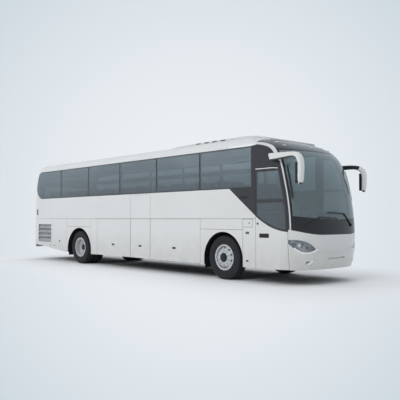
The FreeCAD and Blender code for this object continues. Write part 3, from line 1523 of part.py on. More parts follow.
def smooth_through(points):
    """A curve through points that lie at the whole numbers of its parameter."""
    curve = Part.BSplineCurve()
    curve.interpolate(Points=points, Parameters=[float(place) for place in range(len(points))])
    return curve


def mirror_section(middle, across, upward):
    """An outline with cut corners square to the mirror's course."""
    cut = size.mirror_corner
    points = [middle + across * wide + upward * tall
              for wide, tall in ((1, -cut), (1, cut), (cut, 1), (-cut, 1),
                                 (-1, cut), (-1, -cut), (-cut, -1), (cut, -1))]
    return Part.makePolygon(points + [points[0]])


def mirror_shape(side, shares):
    """A mirror on its side of the coach: an arm that runs forward, bends down and becomes the head."""
    course = smooth_through([Vector(front_axle + along * size.front_overhang, side * out * half,
                                    up * size.roof_height) for along, out, up, tall, wide in shares])
    girth = smooth_through([Vector(0, wide * size.mirror_head_width / 2, tall * size.mirror_arm_height / 2)
                            for along, out, up, tall, wide in shares])
    run = course.EndPoint - course.StartPoint
    across = Vector(run.y, -run.x, 0).normalize()
    sections = []
    # each stretch of the course has a section at its start and one in its middle
    for number in range(2 * len(shares) - 1):
        place = number / 2
        upward = course.tangent(place)[0].cross(across)
        reach = girth.value(place)
        sections.append(mirror_section(course.value(place), across * reach.y, upward * reach.z))
    hook = Part.makeLoft(sections, True, True)
    edge = hook.BoundBox
    outward = half + size.mirror_spread - max(edge.YMax, -edge.YMin)
    front = nose + size.mirror_reach - (size.mirror_left_back if side > 0 else 0)
    return hook.translated(Vector(front - edge.XMax, side * outward, 0)).cut(outer)


keep("mirrors", feature("mirrors", Part.Compound([mirror_shape(-1, RIGHT_MIRROR_SHARES),
                                                  mirror_shape(1, LEFT_MIRROR_SHARES)])))

# Pivot, elbow and tip of each wiper in the front view: shares of half the width and of the roof's height
WIPER_SHARES = (((-0.7624, 0.3884), (-0.4736, 0.437), (-0.0336, 0.4281)),
                ((0.4544, 0.3854), (0.2112, 0.4609), (-0.284, 0.4681)))


def wiper_shapes():
    """Each wiper: the post on the glass, the arm to its elbow and the blade from there."""
    thickness = size.wiper_radius * 2
    above = hull(-size.wiper_clearance - thickness)
    layer = above.cut(hull(-size.wiper_clearance))
    wipers = []
    for shares in WIPER_SHARES:
        pivot, elbow, tip = [(across * half, up * size.roof_height) for across, up in shares]
        outline = front_strip(pivot, elbow, thickness).fuse(front_strip(elbow, tip, thickness))
        post = Part.makeCylinder(thickness, far_front - door_front, Vector(door_front, *pivot),
                                 Vector(1, 0, 0))
        wipers.append(layer.common(outline).fuse(post.common(above).cut(outer)))
    return Part.Compound(wipers)


keep("wipers", feature("wipers", wiper_shapes()))

# Checks that every object is sound, then writes one file for each sub-part
doc.recompute()
for item in doc.Objects:
    if "Invalid" in item.State or "Error" in item.State:
        raise RuntimeError("%s is not sound: %s" % (item.Label, item.State))
for item in finished:
    shape = item.Shape
    if shape.isNull() or not shape.isValid() or not shape.Solids:
        raise RuntimeError("%s has no sound solid" % item.Label)
    shape.exportStep("parts/%s.step" % item.Label)
    print("%-30s %2d solids %9.4f litres" % (item.Label, len(shape.Solids), shape.Volume / 1e6))
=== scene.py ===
import math

import bmesh
import bpy
from mathutils import Matrix, Vector


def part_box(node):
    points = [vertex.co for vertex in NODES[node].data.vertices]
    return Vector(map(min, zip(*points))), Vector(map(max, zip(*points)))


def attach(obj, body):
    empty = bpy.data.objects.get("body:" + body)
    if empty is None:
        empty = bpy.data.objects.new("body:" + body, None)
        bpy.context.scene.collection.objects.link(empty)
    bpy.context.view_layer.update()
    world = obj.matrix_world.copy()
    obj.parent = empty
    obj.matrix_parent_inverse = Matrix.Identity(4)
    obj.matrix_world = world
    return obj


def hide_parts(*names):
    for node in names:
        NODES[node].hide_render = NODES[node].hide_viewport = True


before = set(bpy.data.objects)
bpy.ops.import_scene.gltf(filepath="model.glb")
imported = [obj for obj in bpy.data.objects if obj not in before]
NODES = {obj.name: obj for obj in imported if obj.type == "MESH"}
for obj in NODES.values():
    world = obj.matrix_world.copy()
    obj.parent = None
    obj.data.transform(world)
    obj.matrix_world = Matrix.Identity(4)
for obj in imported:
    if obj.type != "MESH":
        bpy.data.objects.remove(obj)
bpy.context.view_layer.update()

bl_info = {
    "name": "Touring coach",
    "version": (1, 0, 0),
    "blender": (4, 5, 0),
    "location": "3D View > Sidebar > Coach",
    "description": "Dresses the coach's frame with its finishes, glass, lamps, tyres and trim",
    "category": "Object",
}

GROUND = 0.0


def colour(code):
    """A linear colour from an sRGB hex value."""
    parts = [int(code[place:place + 2], 16) / 255 for place in (0, 2, 4)]
    return tuple(part / 12.92 if part <= 0.04045 else ((part + 0.055) / 1.055) ** 2.4
                 for part in parts) + (1.0,)


# Sizes and colours that a user would change

def length(name, description, default):
    return bpy.props.FloatProperty(name=name, description=description, default=default, min=0.0,
                                   unit="LENGTH")


def shade(name, description, code):
    return bpy.props.FloatVectorProperty(name=name, description=description, default=colour(code), size=4,
                                         min=0.0, max=1.0, subtype="COLOR")


class CoachSizes(bpy.types.PropertyGroup):
    """Sizes of the coach's added pieces, in metres."""
    groove_width: length("Tread groove", "Width of a groove round the tyre's tread", 0.011)
    groove_depth: length("Groove depth", "Depth of the tread's grooves", 0.015)
    lens: length("Focal length", "Focal length of the camera on a 36 mm wide film", 0.05076)
    camera_height: length("Camera height", "Height of the camera above the ground", 1.436)


class CoachColours(bpy.types.PropertyGroup):
    """Colours of the coach's finishes."""
    enamel: shade("Body enamel", "Pearl white coach enamel", "dededd")
    graphite: shade("Dark enamel", "Graphite enamel of the roof cap and side panels", "28262a")
    glass: shade("Tinted glass", "Blue-grey tint of the toughened panes", "a7b5bd")
    rubber: shade("Tyre rubber", "Carbon black tyre rubber", "26272a")
    rim: shade("Wheel enamel", "Silver enamel of the steel wheels", "dcdee0")
    cloth: shade("Seat cloth", "Woven wool seat cloth", "3c4652")
    floor: shade("Studio floor", "Pale seamless studio floor", "f4f6f7")


# Materials

def add(material, kind, settings=None, links=None, onward=None):
    """Adds a shader node with its settings, links its inputs and, if asked, one output on to a socket."""
    tree = material.node_tree
    node = tree.nodes.new(kind)
    for key, value in (settings or {}).items():
        if isinstance(key, int) or key in node.inputs:
            node.inputs[key].default_value = value
        else:
            setattr(node, key, value)
    for key, source in (links or {}).items():
        tree.links.new(source.outputs[0] if isinstance(source, bpy.types.Node) else source, node.inputs[key])
    if onward:
        output, socket = onward
        tree.links.new(node.outputs[output], socket)
    return node


def finish(name, base, roughness, metallic=0.0, **settings):
    """A new material with its surface shader; the pattern is linked to it afterwards."""
    material = bpy.data.materials.new(name)
    material.use_nodes = True
    material.node_tree.nodes.clear()
    shader = add(material, "ShaderNodeBsdfPrincipled",
                 {"Base Color": base, "Roughness": roughness, "Metallic": metallic, **settings})
    add(material, "ShaderNodeOutputMaterial", links={"Surface": shader})
    material.diffuse_color = base
    place = add(material, "ShaderNodeTexCoord")
    return material, shader, place.outputs["Object"]


def grained(material, shader, place, size, depth, detail=3.0):
    """A fine uneven grain of a real size as bump."""
    noise = add(material, "ShaderNodeTexNoise", {"Scale": 1.0 / size, "Detail": detail}, {"Vector": place})
    add(material, "ShaderNodeBump", {"Strength": 0.35, "Distance": depth}, {"Height": noise.outputs["Fac"]},
        (0, shader.inputs["Normal"]))


def mottled(material, shader, place, size, light, dark):
    """Two close colours in soft patches of a real size."""
    noise = add(material, "ShaderNodeTexNoise", {"Scale": 1.0 / size, "Detail": 5.0}, {"Vector": place})
    ramp = add(material, "ShaderNodeValToRGB", None,
               {"Fac": noise.outputs["Fac"]}, (0, shader.inputs["Base Color"]))
    low, high = ramp.color_ramp.elements
    low.position, high.position = 0.35, 0.75
    low.color, high.color = dark, light
    return ramp


def darker(base, share):
    return tuple(part * share for part in base[:3]) + (1.0,)


def line_mask(material, place, along, across, points, beyond):
    """One where a point lies beyond a line drawn through (along, across) pairs, and nought elsewhere."""
    split = add(material, "ShaderNodeSeparateXYZ", links={0: place})
    first, last = points[0][0], points[-1][0]
    low, high = min(point[1] for point in points) - 0.01, max(point[1] for point in points) + 0.01
    share = add(material, "ShaderNodeMapRange", {"From Min": first, "From Max": last},
                {"Value": split.outputs[along]})
    line = add(material, "ShaderNodeFloatCurve", links={"Value": share})
    marks = line.mapping.curves[0].points
    for number, (start, height) in enumerate(points):
        mark = ((start - first) / (last - first), (height - low) / (high - low))
        if 0 < number < len(points) - 1:
            marks.new(*mark)
        else:
            marks[min(number, 1) * (len(marks) - 1)].location = mark
    line.mapping.update()
    level = add(material, "ShaderNodeMapRange", {"From Min": low, "From Max": high, "clamp": False},
                {"Value": split.outputs[across]})
    return add(material, "ShaderNodeMath", {"operation": "GREATER_THAN" if beyond else "LESS_THAN"},
               {0: level, 1: line})


def laid_over(material, shader, mask, tone):
    """A second colour over the first where the mask is one; print on glass also stops the light."""
    paint, clear = shader.inputs["Base Color"], shader.inputs["Transmission Weight"]
    add(material, "ShaderNodeMix", {"data_type": "RGBA", 7: tone},
        {0: mask, 6: paint.links[0].from_socket}, (2, paint))
    if clear.default_value > 0:
        add(material, "ShaderNodeMapRange", {"To Min": clear.default_value, "To Max": 0.0},
            {"Value": mask}, (0, clear))


def either(material, *masks):
    """One where any of the masks is one."""
    whole = masks[0]
    for mask in masks[1:]:
        whole = add(material, "ShaderNodeMath", {"operation": "MAXIMUM"}, {0: whole, 1: mask})
    return whole


def near_lines(material, place, axis, first, pitch, reach):
    """One within a reach of evenly spaced lines square to an axis."""
    split = add(material, "ShaderNodeSeparateXYZ", links={0: place})
    moved = add(material, "ShaderNodeMath", {"operation": "SUBTRACT", 1: first}, {0: split.outputs[axis]})
    away = add(material, "ShaderNodeMath", {"operation": "PINGPONG", 1: pitch / 2}, {0: moved})
    return add(material, "ShaderNodeMath", {"operation": "LESS_THAN", 1: reach}, {0: away})


def coach_enamel(name, base, dust_share, coat=0.7):
    """Two-pack enamel, sprayed and clear coated: glossy, with a faint orange peel, and darker in beige-grey
    streaks towards the bottom.
    """
    material, shader, place = finish(name, base, 0.38, **{"Coat Weight": coat, "Coat Roughness": 0.06})
    ramp = mottled(material, shader, place, 1.4, base, darker(base, 0.955))
    # darker towards the bottom: a beige grey is laid over in noise streaks, none above 1.1 m and most below
    # 0.3 m
    height = add(material, "ShaderNodeSeparateXYZ", links={0: place})
    low = add(material, "ShaderNodeMapRange", {"From Min": 1.1, "From Max": 0.3, "To Max": dust_share},
              {"Value": height.outputs["Z"]})
    streaks = add(material, "ShaderNodeTexNoise", {"Scale": 5.0, "Detail": 6.0}, {"Vector": place})
    amount = add(material, "ShaderNodeMath", {"operation": "MULTIPLY"}, {0: low, 1: streaks.outputs["Fac"]})
    add(material, "ShaderNodeMix", {"data_type": "RGBA", 7: colour("9c968c")}, {0: amount, 6: ramp},
        (2, shader.inputs["Base Color"]))
    # orange peel is about 2 mm across; drawn 12 mm so that it shows
    grained(material, shader, place, 0.012, 0.0004, 2.0)
    return material


def tinted_glass(name, base, see_through=0.74, foot=0.75):
    """Toughened glass tinted in the melt: smooth and glossy, clear enough that seats show as shapes."""
    material, shader, place = finish(name, base, 0.03, **{"IOR": 1.52, "Transmission Weight": see_through})
    tint = mottled(material, shader, place, 2.6, base, darker(base, 0.86))
    # painted reflection: the panes' colour is made paler towards the roof, standing in for the sky's
    # reflection there
    height = add(material, "ShaderNodeSeparateXYZ", links={0: place})
    rise = add(material, "ShaderNodeMapRange",
               {"From Min": 2.1, "From Max": 3.05, "To Min": foot, "To Max": 1.3},
               {"Value": height.outputs["Z"]})
    add(material, "ShaderNodeVectorMath", {"operation": "SCALE"},
        {0: tint, 3: rise}, (0, shader.inputs["Base Color"]))
    # roller waves from toughening, a few hundred millimetres apart
    grained(material, shader, place, 0.45, 0.0016, 1.0)
    return material


def tyre_rubber(name, base):
    """Vulcanised rubber with carbon black: matt, with a grey bloom of dust."""
    material, shader, place = finish(name, base, 0.78)
    mottled(material, shader, place, 0.09, base, darker(base, 0.72))
    grained(material, shader, place, 0.006, 0.0006)
    return material


def steel_enamel(name, base, metallic, roughness):
    """Sprayed enamel on pressed steel: satin, with a fine flake and slight soiling."""
    material, shader, place = finish(name, base, roughness, metallic)
    mottled(material, shader, place, 0.16, base, darker(base, 0.8))
    grained(material, shader, place, 0.004, 0.0003)
    return material


def moulded_plastic(name, base, roughness=0.55):
    """Injection moulded ABS with a leather-like grain of about a millimetre, drawn 3 mm to show."""
    material, shader, place = finish(name, base, roughness)
    mottled(material, shader, place, 0.5, base, darker(base, 0.88))
    cells = add(material, "ShaderNodeTexVoronoi", {"Scale": 330.0}, {"Vector": place})
    add(material, "ShaderNodeBump", {"Strength": 0.25, "Distance": 0.0006},
        {"Height": cells.outputs["Distance"]},
        (0, shader.inputs["Normal"]))
    return material


def woven_cloth(name, base):
    """Wool moquette, woven and cut: dull, with a thread pattern; threads of 1 mm are drawn 6 mm to show."""
    material, shader, place = finish(name, base, 0.92, **{"Sheen Weight": 0.4, "Sheen Roughness": 0.5})
    warp, weft = (add(material, "ShaderNodeTexWave",
                      {"Scale": 26.0, "Distortion": 1.2, "bands_direction": axis},
                      {"Vector": place}) for axis in "ZY")
    both = add(material, "ShaderNodeMath", {"operation": "MULTIPLY"},
               {0: warp.outputs["Fac"], 1: weft.outputs["Fac"]})
    add(material, "ShaderNodeMix", {"data_type": "RGBA", 6: darker(base, 0.62), 7: base}, {0: both},
        (2, shader.inputs["Base Color"]))
    add(material, "ShaderNodeBump", {"Strength": 0.4, "Distance": 0.0012},
        {"Height": both}, (0, shader.inputs["Normal"]))
    return material


def facets(name, base):
    """A moulded lamp bowl with aluminium vapour on it: facets of 80 mm, some in the shadow of the others."""
    material, shader, place = finish(name, base, 0.24, 0.55)
    cells = add(material, "ShaderNodeTexVoronoi", {"Scale": 13.0}, {"Vector": place})
    ramp = add(material, "ShaderNodeValToRGB", None,
               {"Fac": cells.outputs["Color"]}, (0, shader.inputs["Base Color"]))
    low, high = ramp.color_ramp.elements
    low.position, high.position = 0.38, 0.62
    low.color, high.color = colour("2a2d31"), colour("f0f2f3")
    add(material, "ShaderNodeBump", {"Strength": 0.5, "Distance": 0.006},
        {"Height": cells.outputs["Distance"]},
        (0, shader.inputs["Normal"]))
    return material


def lamp_plastic(name, base, see_through, roughness=0.08):
    """Clear or dyed polycarbonate, moulded with fine prism ribs inside."""
    material, shader, place = finish(name, base, roughness,
                                     **{"IOR": 1.58, "Transmission Weight": see_through})
    ribs = add(material, "ShaderNodeTexWave", {"Scale": 42.0, "bands_direction": "Z"}, {"Vector": place})
    add(material, "ShaderNodeBump", {"Strength": 0.3, "Distance": 0.001}, {"Height": ribs.outputs["Fac"]},
        (0, shader.inputs["Normal"]))
    mottled(material, shader, place, 0.2, base, darker(base, 0.85))
    return material


MATERIALS = {}
# near black of the glass's printed borders and the mirror's bare arm, also used as painted shade under the
# mirrors
BLACK_FRIT_AND_SHADE = colour("111214")
PANE_FRIT = colour("34393e")
# near black, painted as shade in the deep panel seams
SEAM_PAINTED_SHADE = colour("1a1a1b")
# The line between white and graphite on the door, as (along, height)
DOOR_PAINT_LINE = ((3.6, 2.25), (3.81, 2.128), (4.2, 1.843), (4.62, 1.494), (4.83, 1.361), (5.14, 1.222),
                   (5.505, 1.147), (5.7, 1.13))
# The middle line of the pillars beside the windshield, as (height, along)
PILLAR_LINE = ((1.04, 5.530), (1.36, 5.525), (1.807, 5.475), (2.26, 5.380), (2.683, 5.247), (2.854, 5.149),
               (3.008, 5.003))
# Over this line, as (along, height), and short of its bend the left mirror's arm is bare plastic
MIRROR_ARM_LINE = ((4.8, 2.0), (5.55, 2.0), (5.66, 2.62), (5.80, 2.80))
MIRROR_BEND = 5.68
# Where the seams' painted shade and a second tone start and stop: the seams, the pillar strips and the cap
SEAM_FLOOR = 1.2478
SEAMS_END = 5.45
STRIP_PAINT_TOP = 2.7
CAP_PAINT_REAR = 4.62


def kept(key, material):
    """Keeps a material and gives it back with its shader and place, to lay a second colour over it."""
    nodes = {node.type: node for node in material.node_tree.nodes}
    MATERIALS[key] = material
    return material, nodes["BSDF_PRINCIPLED"], nodes["TEX_COORD"].outputs["Object"]


def make_glass(colours):
    """Side, tail and front glass: each has a black ceramic border, screen printed and fired on its edge."""
    tint = tuple(colours.glass)
    for key, name, axis, first, pitch, foot, height, reach, print_colour in (
            ("side_glass", "tinted_side_glass", "X", 4.525, 1.7225, 2.125, 0.941, 0.022, PANE_FRIT),
            ("tail_glass", "tinted_tail_glass", "Y", 0.93, 1.86, 2.15, 0.80, 0.05, BLACK_FRIT_AND_SHADE)):
        material, shader, place = kept(key, tinted_glass(name, tint))
        upright = near_lines(material, place, axis, first, pitch, reach)
        level = near_lines(material, place, "Z", foot, height, reach)
        laid_over(material, shader, either(material, upright, level), print_colour)
    MATERIALS["door_glass"] = tinted_glass("tinted_door_glass", tint)
    # the windshield's painted sky reflection starts paler at its foot, so it changes less with height
    front = tinted_glass("laminated_windshield", colour("9fb1b6"), foot=1.05)
    material, shader, place = kept("windshield", front)
    edge = [(height, along + 0.072) for height, along in PILLAR_LINE]
    dip = [(across, 1.419 + 0.052 * across * across) for across in (-1.25, -0.8, -0.4, 0.0, 0.4, 0.8, 1.25)]
    brow = ((-1.3, 2.935), (1.3, 2.936))
    laid_over(material, shader, either(material, line_mask(material, place, "Z", "X", edge, False),
                                       line_mask(material, place, "Y", "Z", dip, False),
                                       line_mask(material, place, "Y", "Z", brow, True)), BLACK_FRIT_AND_SHADE)


def make_side_enamel(colours):
    """The sides' enamel, with painted shade in the seams between panels: their deep floors are coloured near
    black.
    """
    panel = coach_enamel("side_panel_enamel", tuple(colours.enamel), 0.5)
    material, shader, place = kept("side_enamel", panel)
    # painted shade: where the surface lies sunk below the skin, short of the tail, it is coloured near black
    depth = add(material, "ShaderNodeVectorMath", {"operation": "ABSOLUTE"}, {0: place})
    split = add(material, "ShaderNodeSeparateXYZ", links={0: depth})
    sunk = add(material, "ShaderNodeMath", {"operation": "LESS_THAN", 1: SEAM_FLOOR}, {0: split.outputs["Y"]})
    short_of_tail = add(material, "ShaderNodeMath", {"operation": "LESS_THAN", 1: SEAMS_END},
                        {0: split.outputs["X"]})
    seam = add(material, "ShaderNodeMath", {"operation": "MULTIPLY"}, {0: sunk, 1: short_of_tail})
    laid_over(material, shader, seam, SEAM_PAINTED_SHADE)


def make_two_tone(colours):
    """The door's panel, the pillar strips, the cap and the mirrors, white with a part sprayed dark; the black
    under the mirrors is painted shade.
    """
    white, dark = tuple(colours.enamel), tuple(colours.graphite)
    material, shader, place = kept("door_enamel", coach_enamel("two_tone_door_enamel", white, 0.5))
    laid_over(material, shader, line_mask(material, place, "X", "Z", DOOR_PAINT_LINE, True), dark)

    material, shader, place = kept("strip_enamel", coach_enamel("pillar_strip_enamel", white, 0.2))
    edge = [(height, along + 0.003) for height, along in PILLAR_LINE]
    split = add(material, "ShaderNodeSeparateXYZ", links={0: place})
    low = add(material, "ShaderNodeMath", {"operation": "LESS_THAN", 1: STRIP_PAINT_TOP},
              {0: split.outputs["Z"]})
    behind = add(material, "ShaderNodeMath", {"operation": "MULTIPLY"},
                 {0: low, 1: line_mask(material, place, "Z", "X", edge, False)})
    laid_over(material, shader, behind, dark)

    material, shader, place = kept("cap_enamel", coach_enamel("two_tone_cap_enamel", white, 0.0))
    split = add(material, "ShaderNodeSeparateXYZ", links={0: place})
    front = add(material, "ShaderNodeMath", {"operation": "GREATER_THAN", 1: CAP_PAINT_REAR},
                {0: split.outputs["X"]})
    laid_over(material, shader, front, dark)

    material, shader, place = kept("mirror_enamel", coach_enamel("mirror_enamel", white, 0.0))
    # painted shade: every face of the mirrors turned downwards is coloured near black
    facing_way = add(material, "ShaderNodeTexCoord")
    turned = add(material, "ShaderNodeSeparateXYZ", links={0: facing_way.outputs["Normal"]})
    painted_shade_below = add(material, "ShaderNodeMath", {"operation": "LESS_THAN", 1: -0.3}, {0: turned.outputs["Z"]})
    # the left mirror's arm is bare black plastic as far as the bend
    split = add(material, "ShaderNodeSeparateXYZ", links={0: place})
    left = add(material, "ShaderNodeMath", {"operation": "GREATER_THAN", 1: 0.0}, {0: split.outputs["Y"]})
    arm = line_mask(material, place, "X", "Z", MIRROR_ARM_LINE, True)
    short = add(material, "ShaderNodeMath", {"operation": "LESS_THAN", 1: MIRROR_BEND},
                {0: split.outputs["X"]})
    for mask in (short, left):
        arm = add(material, "ShaderNodeMath", {"operation": "MULTIPLY"}, {0: arm, 1: mask})
    laid_over(material, shader, either(material, painted_shade_below, arm), BLACK_FRIT_AND_SHADE)


def make_materials(colours):
    make_glass(colours)
    make_two_tone(colours)
    make_side_enamel(colours)
    for key, make, name, base, *numbers in (
            ("enamel", coach_enamel, "white_coach_enamel", colours.enamel, 0.5),
            ("graphite", coach_enamel, "graphite_coach_enamel", colours.graphite, 0.2, 0.35),
            # whiter than the body's enamel: the lips, drip rail and cantrail strips are white parts, and the
            # lips and drip rail are made whiter still as a painted highlight
            ("gloss_white", coach_enamel, "lamp_lip_enamel", colour("f7f7f6"), 0.0),
            ("rubber", tyre_rubber, "vulcanised_rubber", colours.rubber),
            ("rim", steel_enamel, "silver_wheel_enamel", colours.rim, 0.25, 0.32),
            ("chassis", steel_enamel, "black_chassis_enamel", colour("191a1c"), 0.1, 0.6),
            ("hub", steel_enamel, "dark_hub_enamel", colour("2e3033"), 0.4, 0.45),
            ("chrome", steel_enamel, "chromed_reflector", colour("d4d7da"), 0.9, 0.12),
            ("mirror_glass", steel_enamel, "silvered_mirror_glass", colour("c9d1d6"), 1.0, 0.04),
            ("flap_rubber", tyre_rubber, "moulded_flap_rubber", colour("141516")),
            ("plate", steel_enamel, "blank_plate_enamel", colour("dedfdc"), 0.0, 0.4),
            ("axle", steel_enamel, "cast_axle_enamel", colour("2a2b2d"), 0.3, 0.55),
            ("cloth", woven_cloth, "seat_moquette", colours.cloth),
            ("dash", moulded_plastic, "dashboard_plastic", colour("2b2c2f")),
            ("trim", moulded_plastic, "black_trim_plastic", colour("17181a"), 0.45),
            ("floor_vinyl", moulded_plastic, "speckled_floor_vinyl", colour("4d5357"), 0.7),
            ("lining", moulded_plastic, "grey_lining_plastic", colour("9ba1a4"), 0.6),
            ("unit", moulded_plastic, "glass_fibre_shell", colour("d9dbdb"), 0.42),
            ("louvre", steel_enamel, "grey_louvre_enamel", colour("a9abab"), 0.2, 0.45),
            ("lamp", lamp_plastic, "clear_polycarbonate", colour("d8dde0"), 0.85, 0.04),
            ("lamp_white", lamp_plastic, "opal_polycarbonate", colour("eceeee"), 0.0, 0.25),
            ("dark_lens", lamp_plastic, "projector_glass", colour("5b6672"), 0.2, 0.03),
            ("reflector", facets, "vaporised_reflector", colour("b9bec2")),
            ("red_lamp", lamp_plastic, "red_polycarbonate", colour("a51218"), 0.3),
            ("amber_lamp", lamp_plastic, "amber_polycarbonate", colour("d87a14"), 0.3),
            ("smoked_lamp", lamp_plastic, "smoked_polycarbonate", colour("6f6b68"), 0.2),
            ("ruby_lamp", lamp_plastic, "ruby_polycarbonate", colour("5a2a2f"), 0.2)):
        MATERIALS[key] = make(name, tuple(base), *numbers)


class COACH_OT_finishes(bpy.types.Operator):
    """Makes every finish and gives the frame's own pieces theirs"""
    bl_idname = "coach.finishes"
    bl_label = "Finishes"

    def execute(self, context):
        make_materials(context.scene.coach_colours)
        for finish_name, words in (
                ("enamel", "roof front_fascia rear_wall rear_bumper engine_door"),
                ("side_enamel", "right_side_wall left_side_wall right_skirt left_skirt "
                 "luggage_flap_right_front luggage_flap_right_middle luggage_flap_right_rear "
                 "luggage_flap_left_front luggage_flap_left_middle luggage_flap_left_rear"),
                ("door_enamel", "passenger_door"),
                ("strip_enamel", "windshield_frame"),
                ("mirror_enamel", "mirrors"),
                ("cap_enamel", "front_cap"),
                ("graphite", "dark_side_panels"),
                ("side_glass", "side_windows rearmost_side_windows"),
                ("tail_glass", "rear_window"),
                ("door_glass", "passenger_door_glass"),
                ("windshield", "windshield"),
                ("rubber", "tyre_front_right tyre_front_left tyres_rear_right tyres_rear_left"),
                ("rim", "rim_front_right rim_front_left rims_rear_right rims_rear_left"),
                ("chassis", "chassis_rails tow_eyes wheel_housings luggage_hold air_springs"),
                ("axle", "front_axle rear_axle engine knuckle_right knuckle_left"),
                ("cloth", "seats_right seats_left driver_seat"),
                ("dash", "dashboard steering_wheel"),
                ("trim", "wipers"),
                ("floor_vinyl", "saloon_floor entrance_steps"),
                ("lining", "parcel_racks"),
                ("unit", "roof_unit roof_hatch"),
                ("louvre", "side_grille door_arm"),
                ("lamp", "front_lamps"),
                ("red_lamp", "tail_lamps")):
            for word in words.split():
                slots = NODES[word].data.materials
                slots.clear()
                slots.append(MATERIALS[finish_name])
        return {"FINISHED"}


# The stage

